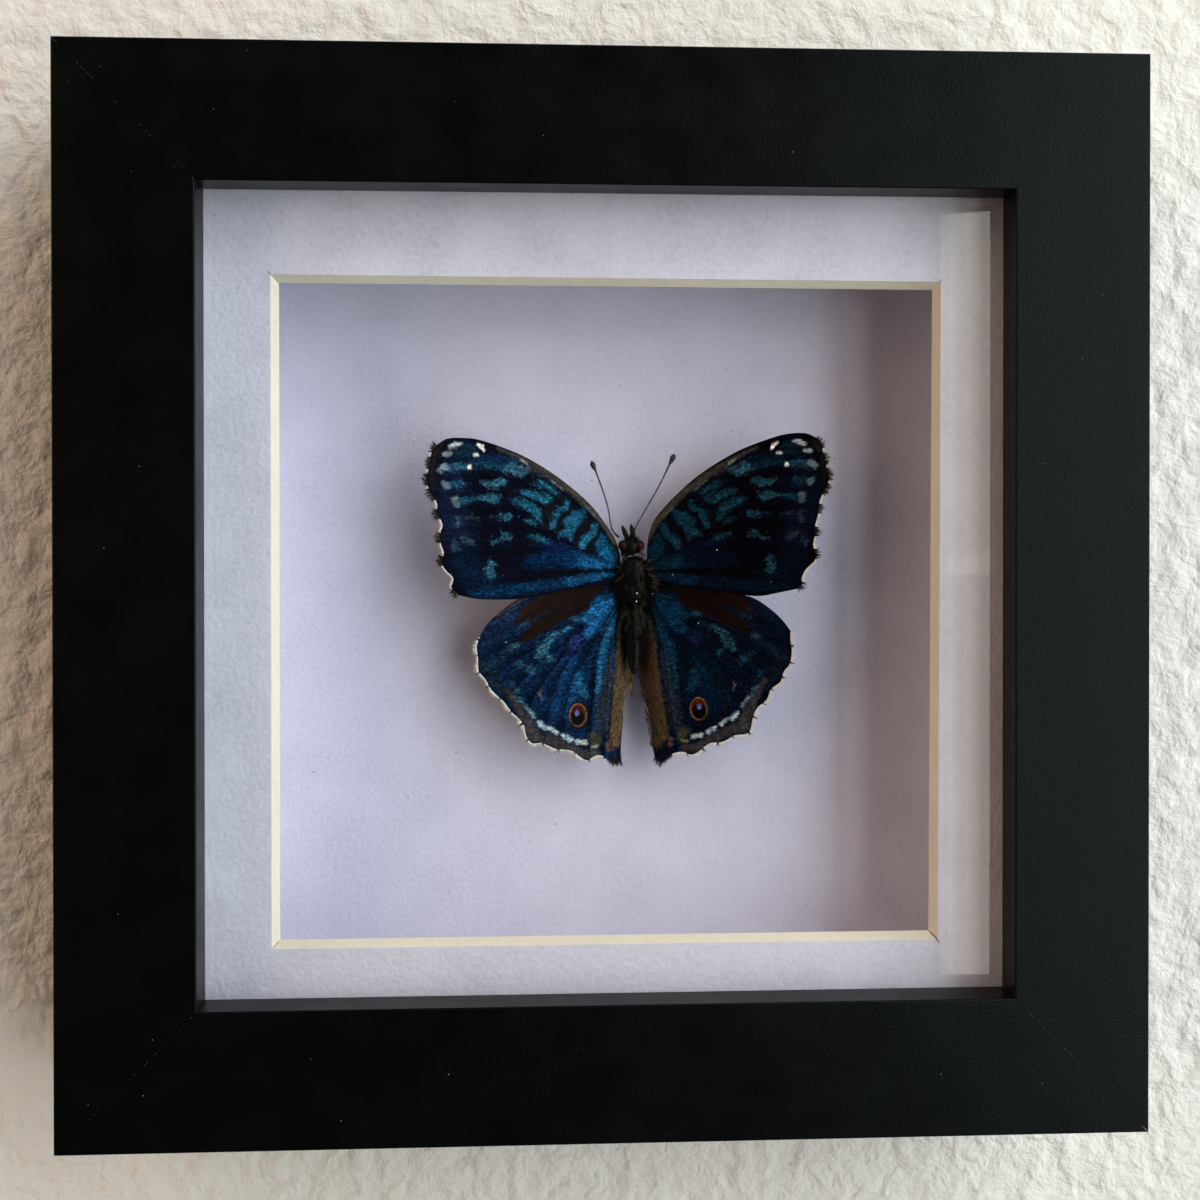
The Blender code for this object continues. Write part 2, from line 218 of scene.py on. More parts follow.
soft_panel("warm_lamp_left", (-0.9, -0.33, 0.3), case_middle, 1.1, 1.8, 1.85, lamplight)
soft_panel("roof_light", (0.264, -0.725, 0.92), case_middle, 0.55, 0.5, 1.7, (1.0, 0.97, 0.97))
soft_panel("room_behind", (-0.1, 1.3, 0.5), case_middle, 2.8, 1.4, 1.5, (1.0, 0.98, 0.95))
soft_panel("ceiling_behind", (0, 2.6, 2.0), (0, 2.6, floor_height), 6.0, 5.0, 2.5, (1.0, 0.99, 0.97))

# The room lights things warmly and dimly, and is seen as plain pale grey.
room = bpy.data.worlds.new("warm_dim_room")
bpy.context.scene.world = room
room.use_nodes = True
tree = room.node_tree
tree.nodes["Background"].inputs["Color"].default_value = (1.0, 0.8, 0.62, 1)
tree.nodes["Background"].inputs["Strength"].default_value = 0.012
seen = add_node(tree, "ShaderNodeBackground", {"Color": tone("d9d7d2")})
first_ray = add_node(tree, "ShaderNodeLightPath").outputs["Is Camera Ray"]
split = add_node(tree, "ShaderNodeMixShader", {0: first_ray, 1: tree.nodes["Background"].outputs[0],
                                              2: seen.outputs[0]})
tree.links.new(split.outputs[0], tree.nodes["World Output"].inputs["Surface"])
bpy.context.scene.view_settings.view_transform = "Standard"


# ---- Frame rails -----------------------------------------------------------------------------------------
# Four lengths of square MDF moulding with a rebate behind the lip, mitred, glued and sprayed satin black.
# The spray leaves a fine grain, the edges are a little round, and the mitres show as hairlines.
near_enough = 1e-6
rail_low, rail_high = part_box("rail_top")
frame_half = (cad_high.x - cad_low.x) / 2
frame_middle = Vector((0, 0, cad_high.z - frame_half))
frame_front = cad_low.y
face_width = rail_high.z - rail_low.z
glass_play = 0.3 * mm
lip_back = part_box("glass")[0].y - glass_play
rebate_wall = 13 * mm
mitre_gap = 0.035 * mm
arris = 0.25 * mm


def satin_black_paint():
    """Black lacquer sprayed on MDF: close to no colour, a broad satin gloss and a grain of about 0.5 mm."""
    finish, tree, shader = new_finish("sprayed_satin_black_lacquer", Specular_IOR_Level=0.12,
                                      Specular_Tint=(0.8, 0.98, 1.0, 1))
    place = add_node(tree, "ShaderNodeTexCoord").outputs["Object"]
    grain = add_node(tree, "ShaderNodeTexNoise", {"Vector": place, "Scale": 1 / (0.5 * mm), "Detail": 3.0})
    cloud = add_node(tree, "ShaderNodeTexNoise", {"Vector": place, "Scale": 1 / (7 * mm), "Detail": 4.0})
    shade = add_node(tree, "ShaderNodeMix", {0: cloud.outputs["Fac"], 6: tone("020303"), 7: tone("060707")},
                     data_type="RGBA")
    gloss = add_node(tree, "ShaderNodeMapRange", {"Value": cloud.outputs["Fac"], "From Min": 0.3,
                                                  "From Max": 0.7, "To Min": 0.3, "To Max": 0.4})
    bump = add_node(tree, "ShaderNodeBump", {"Height": grain.outputs["Fac"], "Distance": 0.06 * mm,
                                             "Strength": 0.7})
    tree.links.new(shade.outputs[2], shader.inputs["Base Color"])
    tree.links.new(gloss.outputs["Result"], shader.inputs["Roughness"])
    tree.links.new(bump.outputs["Normal"], shader.inputs["Normal"])
    return finish


black_paint = satin_black_paint()
rail_section = [(0, 0), (0, frame_front), (face_width, frame_front), (face_width, lip_back),
                (rebate_wall, lip_back), (rebate_wall, 0)]
for turns, side in enumerate(("top", "right", "bottom", "left")):
    bm = bmesh.new()
    end = [bm.verts.new((mitre_gap / 2 - (frame_half - inward), depth, frame_half - inward))
           for inward, depth in rail_section]
    cut = bm.faces.new(end)
    far_end = bmesh.ops.extrude_face_region(bm, geom=[cut])["geom"]
    for vert in far_end:
        if isinstance(vert, bmesh.types.BMVert):
            vert.co.x = -vert.co.x
    bmesh.ops.recalc_face_normals(bm, faces=bm.faces)
    front_edges = [edge for edge in bm.edges
                   if abs(edge.verts[0].co.z - edge.verts[1].co.z) < near_enough
                   and edge.calc_length() > frame_half
                   and edge.verts[0].co.y < frame_front + near_enough]
    bmesh.ops.bevel(bm, geom=front_edges, offset=arris, offset_type="OFFSET", segments=4, profile=0.5,
                    affect="EDGES", material=-1)
    bmesh.ops.transform(bm, verts=bm.verts, matrix=Matrix.Translation(frame_middle)
                        @ Matrix.Rotation(turns * math.pi / 2, 4, "Y"))
    rail = add_piece("moulding_" + side, bm, black_paint, smooth=False)
    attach(rail, "root")
    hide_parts("rail_" + side)


# ---- Dust on the frame -----------------------------------------------------------------------------------
# A few pale specks of lint lie on the paint, and fine pale chips run along three of the mitres. The crumbs
# of a row are one mesh, pressed flat on the face they lie on.
crumb_flatness = 0.3


def add_specks(name, spots, finish, depth):
    """Small flattened crumbs at spots: rows of x, z and radius in mm from the frame's middle."""
    bm = bmesh.new()
    for x, z, radius in spots:
        place = Matrix.Translation((x * mm, depth, frame_middle.z + z * mm))
        shape = Matrix.Diagonal((radius * mm, crumb_flatness * radius * mm, radius * mm, 1))
        bmesh.ops.create_icosphere(bm, subdivisions=1, radius=1, matrix=place @ shape)
    specks = add_piece(name, bm, finish)
    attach(specks, "root")
    return specks


def lint_and_cut_shade(name, code):
    """Cotton lint and paper dust, and the painted shade in the mat's cuts: matt, with a slight mottle from
    crumb to crumb.
    """
    finish, tree, shader = new_finish(name, Roughness=0.95, Specular_IOR_Level=0.1)
    place = add_node(tree, "ShaderNodeTexCoord").outputs["Object"]
    mottle = add_node(tree, "ShaderNodeTexNoise", {"Vector": place, "Scale": 1 / (3 * mm)})
    shade = add_node(tree, "ShaderNodeMix", {0: mottle.outputs["Fac"], 6: tone(code, 0.35), 7: tone(code)},
                     data_type="RGBA")
    tree.links.new(shade.outputs[2], shader.inputs["Base Color"])
    return finish


pale_lint = lint_and_cut_shade("pale_lint", "8d8f92")
dark_lint = lint_and_cut_shade("dark_lint", "3a3434")
dice = np.random.default_rng(11)
face_middle = frame_half / mm - face_width / mm / 2
lint_count, lint_reach, lint_spread = 34, 72, 8
frame_dust = []
for i in range(lint_count):
    along = dice.uniform(-lint_reach, lint_reach)
    across = face_middle + dice.uniform(-lint_spread, lint_spread)
    spot = [(along, across), (across, along), (along, -across), (-across, along)][i % 4]
    frame_dust.append((*spot, dice.uniform(0.04, 0.1)))
speck_row = add_specks("lint_on_frame", frame_dust, pale_lint, frame_front)

# Chips at the top left, bottom right and bottom left corners, with how many. They start 3 mm in.
mitre_chips = []
chips_from, chips_to = 3.0, 18.8
for corner_x, corner_z, count in ((-1, 1, 36), (1, -1, 40), (-1, -1, 26)):
    for step in np.sort(dice.uniform(chips_from, chips_to, count)):
        reach = frame_half / mm - step
        mitre_chips.append((corner_x * reach, corner_z * reach, dice.uniform(0.02, 0.05)))
chips = add_specks("chips_along_mitres", mitre_chips, pale_lint, frame_front)


# ---- Glass -----------------------------------------------------------------------------------------------
# A 2 mm pane of clear float glass, pressed against the lip. It shows only by mirroring the door's near edge
# on the right. It lets light and shadow through as they are, because such a pane hardly dims them.
def dress(node, finish):
    """Gives a CAD node its finish."""
    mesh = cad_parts[node].data
    mesh.materials.clear()
    mesh.materials.append(finish)


float_glass, tree, shader = new_finish("clear_float_glass", Roughness=0.0, IOR=1.5, Transmission_Weight=1.0)
shader.inputs["Base Color"].default_value = (0.97, 0.985, 0.98, 1)
dress("glass", float_glass)
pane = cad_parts["glass"]
for ray in ("visible_diffuse", "visible_glossy", "visible_shadow"):
    setattr(pane, ray, False)


# ---- Mat -------------------------------------------------------------------------------------------------
# A thin sheet of conservation board, lilac paper over a cream core, with a window cut at 45 degrees. The
# knife ran a little past three corners and left the top right one out of true.
mat_low, mat_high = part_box("mat")
mat_thick = mat_high.y - mat_low.y
mat_half = (mat_high.x - mat_low.x) / 2
window_half = 47.2 * mm
bevel_width = 1.0 * mm
window_drop = 2.5 * mm
corner_slip = Vector((0.45, 0, -0.3)) * mm


def papered_board(name, code, fleck):
    """Uncoated paper facing: matt, felt-marked at about 0.4 mm, with a faint cloud in its colour."""
    finish, tree, shader = new_finish(name, Roughness=0.85, Specular_IOR_Level=0.25)
    place = add_node(tree, "ShaderNodeTexCoord").outputs["Object"]
    felt = add_node(tree, "ShaderNodeTexNoise", {"Vector": place, "Scale": 1 / (0.7 * mm), "Detail": 4.0})
    cloud = add_node(tree, "ShaderNodeTexNoise", {"Vector": place, "Scale": 1 / (9 * mm), "Detail": 2.0})
    fibres = add_node(tree, "ShaderNodeMath", {0: felt.outputs["Fac"], 1: cloud.outputs["Fac"]},
                      operation="MULTIPLY")
    shade = add_node(tree, "ShaderNodeMix", {0: fibres.outputs[0], 6: tone(code), 7: tone(fleck)},
                     data_type="RGBA")
    bump = add_node(tree, "ShaderNodeBump", {"Height": felt.outputs["Fac"], "Distance": 0.16 * mm,
                                             "Strength": 0.8})
    tree.links.new(shade.outputs[2], shader.inputs["Base Color"])
    tree.links.new(bump.outputs["Normal"], shader.inputs["Normal"])
    return finish


mat_paper = papered_board("lilac_mat_paper", "e6e6f8", "a8a8bc")
mat_core = papered_board("cream_mat_core", "e9e3d4", "cec6b2")
bm = bmesh.new()
bmesh.ops.create_grid(bm, x_segments=1, y_segments=1, size=mat_half,
                      matrix=Matrix.Translation((0, mat_low.y, frame_middle.z)) @ upright)
inner = list(bm.faces)[0]
bmesh.ops.inset_region(bm, faces=[inner], thickness=mat_half - window_half, use_boundary=True,
                       use_even_offset=True)
bmesh.ops.translate(bm, verts=inner.verts, vec=(0, 0, -window_drop))
far_corner = max(inner.verts, key=lambda vert: vert.co.x + vert.co.z)
far_corner.co += corner_slip
bevel_faces = bmesh.ops.inset_region(bm, faces=[inner], thickness=bevel_width,
                                     use_even_offset=True)["faces"]
bmesh.ops.translate(bm, verts=inner.verts, vec=(0, mat_thick, 0))
for face in bevel_faces:
    face.material_index = 1
bmesh.ops.delete(bm, geom=[inner], context="FACES_ONLY")
outer_edges = [edge for edge in bm.edges
               if edge.is_boundary and abs(edge.verts[0].co.y - mat_low.y) < near_enough]
sides = bmesh.ops.extrude_edge_only(bm, edges=outer_edges)["geom"]
back_corners = [g for g in sides if isinstance(g, bmesh.types.BMVert)]
bmesh.ops.translate(bm, verts=back_corners, vec=(0, mat_thick, 0))
bmesh.ops.bridge_loops(bm, edges=[edge for edge in bm.edges if edge.is_boundary])
bmesh.ops.recalc_face_normals(bm, faces=bm.faces)
mat = add_piece("window_mat", bm, mat_paper, mat_core, smooth=False)
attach(mat, "root")
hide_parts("mat")


def add_slits(name, slits, finish):
    """Thin cuts, painted dark as the shade inside them, each from one place to another with its half width,
    in mm from the frame's middle.
    """
    bm = bmesh.new()
    for start, end, half_width in slits:
        start, end = Vector(start) * mm, Vector(end) * mm
        turn = (end - start).to_track_quat("Z", "Y").to_matrix().to_4x4()
        shape = Matrix.Diagonal((half_width * mm, half_width * mm, (end - start).length / 2, 1))
        middle = (start + end) / 2 + Vector((0, 0, frame_middle.z))
        bmesh.ops.create_icosphere(bm, subdivisions=2, radius=1,
                                   matrix=Matrix.Translation(middle) @ turn @ shape)
    cuts = add_piece(name, bm, finish)
    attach(cuts, "root")
    return cuts


# The mitres of the bevel from its paper edge to its back edge, then the cuts that ran on past the corners.
# Both are painted dark brown, as the shade inside the slits.
core_shadow = lint_and_cut_shade("shadowed_mat_core", "4a3a2c")
front, back = mat_low.y / mm, mat_high.y / mm
half, rise, drop = window_half / mm, (window_half - window_drop) / mm, (window_half + window_drop) / mm
bevel = bevel_width / mm
knife_cuts = add_slits("knife_cuts", [
    ((-half, front, rise), (-half + bevel, back, rise - bevel), 0.05),
    ((half + 0.4, front, rise - 0.3), (half - 0.8, back, rise - bevel), 0.06),
    ((-half, front, -drop), (-half + bevel, back, -drop + bevel), 0.05),
    ((half, front, -drop), (half - bevel, back, -drop + bevel), 0.1),
    ((half - 0.3, front, -drop + 0.3), (half + 0.3, front, -drop - 0.5), 0.07),
    ((-half + 0.1, front, rise - 0.1), (-half - 0.5, front, rise + 0.5), 0.05),
    ((half + 0.2, front, rise - 0.4), (half + 0.7, front, rise + 0.1), 0.05)], core_shadow)


# ---- Spacers, backing card, back board, tabs and hanger --------------------------------------------------
# White foam strips hold the mat off a sheet of lilac card, which a brown hardboard back closes. Steel tabs
# bend over the back, a zinced sawtooth plate is nailed on and a cork post holds the butterfly off the card.
foam_board = papered_board("white_foam_board", "efeeea", "e2e0da")
for side in ("top", "bottom", "left", "right"):
    dress("spacer_" + side, foam_board)

lilac_card = papered_board("lilac_backing_card", "e2e1fb", "b6b5d0")
dress("backing_card", lilac_card)


def pressed_hardboard():
    """Hardboard: steamed wood fibre pressed smooth, brown, with short darker fibres 1 to 3 mm long."""
    finish, tree, shader = new_finish("pressed_hardboard", Roughness=0.6, Specular_IOR_Level=0.3)
    place = add_node(tree, "ShaderNodeTexCoord").outputs["Object"]
    flat = add_node(tree, "ShaderNodeMapping", {"Vector": place, "Scale": (1, 1, 3)})
    fibre = add_node(tree, "ShaderNodeTexNoise", {"Vector": flat.outputs[0], "Scale": 1 / (2 * mm),
                                                  "Detail": 6.0, "Distortion": 1.5})
    shade = add_node(tree, "ShaderNodeMix", {0: fibre.outputs["Fac"], 6: tone("4a3019"), 7: tone("8a6238")},
                     data_type="RGBA")
    bump = add_node(tree, "ShaderNodeBump", {"Height": fibre.outputs["Fac"], "Distance": 0.1 * mm})
    tree.links.new(shade.outputs[2], shader.inputs["Base Color"])
    tree.links.new(bump.outputs["Normal"], shader.inputs["Normal"])
    return finish


def zinced_steel():
    """Pressed steel strip, zinc plated: grey metal with a dull bloom and fine rolling scratches."""
    finish, tree, shader = new_finish("zinc_plated_steel", Metallic=1.0)
    place = add_node(tree, "ShaderNodeTexCoord").outputs["Object"]
    rolled = add_node(tree, "ShaderNodeMapping", {"Vector": place, "Scale": (0.15, 1, 1)})
    scratch = add_node(tree, "ShaderNodeTexNoise", {"Vector": rolled.outputs[0], "Scale": 1 / (0.3 * mm),
                                                    "Detail": 3.0})
    gloss = add_node(tree, "ShaderNodeMapRange", {"Value": scratch.outputs["Fac"], "To Min": 0.25,
                                                  "To Max": 0.5})
    shade = add_node(tree, "ShaderNodeMix", {0: scratch.outputs["Fac"], 6: tone("8f9296"), 7: tone("c9cbcd")},
                     data_type="RGBA")
    tree.links.new(shade.outputs[2], shader.inputs["Base Color"])
    tree.links.new(gloss.outputs["Result"], shader.inputs["Roughness"])
    return finish


def pressed_cork():
    """Agglomerated cork: tan granules about 1 mm across with darker bark between them."""
    finish, tree, shader = new_finish("pressed_cork", Roughness=0.9)
    place = add_node(tree, "ShaderNodeTexCoord").outputs["Object"]
    granule = add_node(tree, "ShaderNodeTexVoronoi", {"Vector": place, "Scale": 1 / (1.0 * mm)})
    shade = add_node(tree, "ShaderNodeMix", {0: granule.outputs["Distance"], 6: tone("b98f5f"),
                                             7: tone("6a4526")}, data_type="RGBA")
    tree.links.new(shade.outputs[2], shader.inputs["Base Color"])
    return finish


dress("back_board", pressed_hardboard())
zinc = zinced_steel()
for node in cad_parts:
    if node.startswith("tab_") or node.startswith("hanger_"):
        dress(node, zinc)
dress("mounting_post", pressed_cork())

# Dust that fell on the card and on the four sides of the mat.
card_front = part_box("backing_card")[0].y
card_dust_count, mat_dust_count = 46, 40
card_dust = [(dice.uniform(-46, 46), dice.uniform(-48, 43), dice.uniform(0.05, 0.13))
             for i in range(card_dust_count)]
card_specks = add_specks("dust_on_card", card_dust, dark_lint, card_front)
mat_dust = []
for i in range(mat_dust_count):
    along, across = dice.uniform(-54, 54), dice.uniform(49, 55)
    spot = [(along, across - 1), (across, along), (along, -across - 0.5), (-across, along)][i % 4]
    mat_dust.append((*spot, dice.uniform(0.04, 0.1)))
mat_specks = add_specks("dust_on_mat", mat_dust, dark_lint, mat_low.y)


# ---- Wings -----------------------------------------------------------------------------------------------
# Four dried wings, each a membrane a few hundredths of a millimetre thick that is drawn tight over its
# veins and tiled with scales. The set holds the forewings 7 degrees and the hindwings 5 degrees up.
# Places on them are in mm from the middle of the thorax, as outward reach and height, as seen from the front.
heart = Vector((4.4, -14.5, -52.2)) * mm
eye_point = np.array(camera.location)


def sighted(across, height, depth):
    """World places of points that look, from the front, to be at across and height mm from the heart when
    they lie at depth mm in front of it: a raised point slides along the line of sight."""
    flat = np.stack([heart.x + across * mm, np.full_like(across, heart.y), heart.z + height * mm], -1)
    share = np.asarray(depth)[..., None] * mm / (heart.y - eye_point[1])
    return flat + (eye_point - flat) * share


def soft_route(points, count):
    """count places evenly spaced along a smooth curve through points."""
    points = np.array(points, float)
    padded = np.vstack([2 * points[0] - points[1], points, 2 * points[-1] - points[-2]])
    steps_between = 12
    t = np.linspace(0, 1, steps_between, endpoint=False)[:, None]
    fine = []
    for a, b, c, d in zip(padded, padded[1:], padded[2:], padded[3:]):
        fine.append(0.5 * (2 * b + (c - a) * t + (2 * a - 5 * b + 4 * c - d) * t ** 2
                           + (3 * b - a - 3 * c + d) * t ** 3))
    fine = np.vstack(fine + [points[-1:]])
    run = np.concatenate([[0], np.cumsum(np.hypot(*np.diff(fine, axis=0).T))])
    even = np.linspace(0, run[-1], count)
    return np.stack([np.interp(even, run, fine[:, 0]), np.interp(even, run, fine[:, 1])], -1)


def stretched(front_edge, rear_edge, root, outer_edge, columns, rows):
    """A grid of places stretched between a wing's four edges. The first axis runs from root to outer edge,
    the second from rear edge to front edge."""
    front, rear = soft_route(front_edge, columns), soft_route(rear_edge, columns)
    inner, outer = soft_route(root, rows), soft_route(outer_edge, rows)
    u = np.linspace(0, 1, columns)[:, None, None]
    v = np.linspace(0, 1, rows)[None, :, None]
    ruled = (1 - v) * rear[:, None] + v * front[:, None] + (1 - u) * inner[None] + u * outer[None]
    corners = ((1 - u) * (1 - v) * inner[0] + u * (1 - v) * outer[0]
               + (1 - u) * v * inner[-1] + u * v * outer[-1])
    return ruled - corners


def mottled(x, z, size, seed):
    """Smooth random blotches about size mm across, from 0 to 1."""
    table = np.random.default_rng(seed).random((256, 256))
    gx, gz = x / size + 100, z / size + 100
    ix, iz = np.floor(gx).astype(int), np.floor(gz).astype(int)
    fx, fz = gx - ix, gz - iz
    fx, fz = fx * fx * (3 - 2 * fx), fz * fz * (3 - 2 * fz)
    ix, iz = ix % 255, iz % 255
    low = table[ix, iz] * (1 - fx) + table[ix + 1, iz] * fx
    high = table[ix, iz + 1] * (1 - fx) + table[ix + 1, iz + 1] * fx
    return low * (1 - fz) + high * fz


def gap_to(x, z, route):
    """Distance in mm to a line through route, less its half width there."""
    nearest = np.full_like(x, 99.0)
    for (ax, az, aw), (bx, bz, bw) in zip(route, route[1:] or route):
        dx, dz = bx - ax, bz - az
        t = np.clip(((x - ax) * dx + (z - az) * dz) / max(dx * dx + dz * dz, 1e-9), 0, 1)
        nearest = np.minimum(nearest, np.hypot(x - ax - t * dx, z - az - t * dz) - (aw + (bw - aw) * t))
    return nearest


plain_share = 0.15


def lay_marks(shade, blue, ragged, crisp, marks):
    """Lays marks over the wing's colour. Each is a hex colour, its share of blue-giving scales, its
    strength, how soft its edge is in mm, and its routes. Blue scales stray over the edge of a mark, so
    those marks are looked up at ragged places and the others at crisp ones."""
    for code, share, strength, soft, *routes in marks:
        x, z = ragged if share > plain_share else crisp
        cover = np.zeros_like(x)
        for route in routes:
            cover = np.maximum(cover, np.clip(0.5 - gap_to(x, z, route) / soft, 0, 1))
        cover = cover * strength
        shade += (np.array(tone(code)[:3]) - shade) * cover[..., None]
        blue += (share - blue) * cover


def wing_scales():
    """Scales laid like tiles. Brown and black ones only soak up light. Blue ones are ridged, which sends
    blue back like a rough metal, and their outer ends are tipped up, so a wing turned from the light goes
    dark. Single scales are 0.1 mm and are drawn 0.2 mm, so that they show. A few of them are far brighter
    than the rest, the more so where there is blue."""
    finish, tree, shader = new_finish("wing_scales_dry", Roughness=0.4, Specular_IOR_Level=0.04)
    place = add_node(tree, "ShaderNodeTexCoord").outputs["Object"]
    colour = add_node(tree, "ShaderNodeAttribute", attribute_name="scale_colour").outputs["Color"]
    blue = add_node(tree, "ShaderNodeAttribute", attribute_name="blue_share").outputs["Fac"]
    leaning = add_node(tree, "ShaderNodeAttribute", attribute_name="scale_lean").outputs["Vector"]
    lengthened = add_node(tree, "ShaderNodeMapping", {"Vector": place, "Scale": (0.6, 1, 1)}).outputs[0]
    tiles = add_node(tree, "ShaderNodeTexVoronoi", {"Vector": lengthened, "Scale": 1 / (0.2 * mm)})
    chance = add_node(tree, "ShaderNodeSeparateColor", {0: tiles.outputs["Color"]}).outputs[0]
    few_bright = add_node(tree, "ShaderNodeMath", {0: 0.12, 1: chance}, operation="POWER").outputs[0]
    spread = add_node(tree, "ShaderNodeMapRange", {"Value": few_bright, "To Min": 0.15, "To Max": 2.3})
    bluer = add_node(tree, "ShaderNodeMath", {0: blue, 1: 0.85}, operation="MULTIPLY").outputs[0]
    contrast = add_node(tree, "ShaderNodeMath", {0: bluer, 1: 0.5}, use_clamp=True).outputs[0]
    grain = add_node(tree, "ShaderNodeMix", {0: contrast, 2: 1.0, 3: spread.outputs["Result"]})
    grained = add_node(tree, "ShaderNodeVectorMath", {0: colour, "Scale": grain.outputs[0]},
                       operation="SCALE")
    metal = add_node(tree, "ShaderNodeMath", {0: blue, 1: 1.25}, operation="MULTIPLY", use_clamp=True)
    bump = add_node(tree, "ShaderNodeBump", {"Height": tiles.outputs["Distance"], "Distance": 0.03 * mm,
                                             "Strength": 0.6})
    tipped = add_node(tree, "ShaderNodeVectorMath", {0: bump.outputs["Normal"], 1: leaning}, operation="ADD")
    squared = add_node(tree, "ShaderNodeVectorMath", {0: tipped.outputs[0]}, operation="NORMALIZE")
    tree.links.new(grained.outputs[0], shader.inputs["Base Color"])
    tree.links.new(metal.outputs[0], shader.inputs["Metallic"])
    tree.links.new(squared.outputs[0], shader.inputs["Normal"])
    return finish


scales = wing_scales()

# Veins and marks are drawn on the left wings, and the right ones have the same, turned over. Each route is
# rows of reach, height and half width.
forewing_veins = [
    [(2.5, 5, 0), (5.5, 9.5, 0), (10, 13.4, 0), (15, 16.4, 0), (22, 19.6, 0), (29, 20.6, 0)],
    [(10, 11.8, 0), (14.5, 15.6, 0), (19, 18.4, 0), (24, 19.0, 0), (29.6, 18.8, 0)],
    [(13, 13.2, 0), (17, 15.6, 0), (22, 16.3, 0), (30.6, 16, 0)],
    [(13.5, 11.8, 0), (18, 13.6, 0), (23, 13.9, 0), (29.6, 13.4, 0)],
    [(13, 10.2, 0), (18, 11.4, 0), (23, 11.5, 0), (28.8, 11, 0)],
    [(3.3, 3.4, 0), (8, 5.3, 0), (12, 7.8, 0), (17, 8.9, 0), (22, 8.7, 0), (28.4, 8, 0)],
    [(8, 5.3, 0), (13, 5.6, 0), (20, 5.1, 0), (28, 4.5, 0)],
    [(2.6, 2.4, 0), (8, 2.1, 0), (14, 1.4, 0), (20, 0.6, 0), (25.8, -0.8, 0)],
]
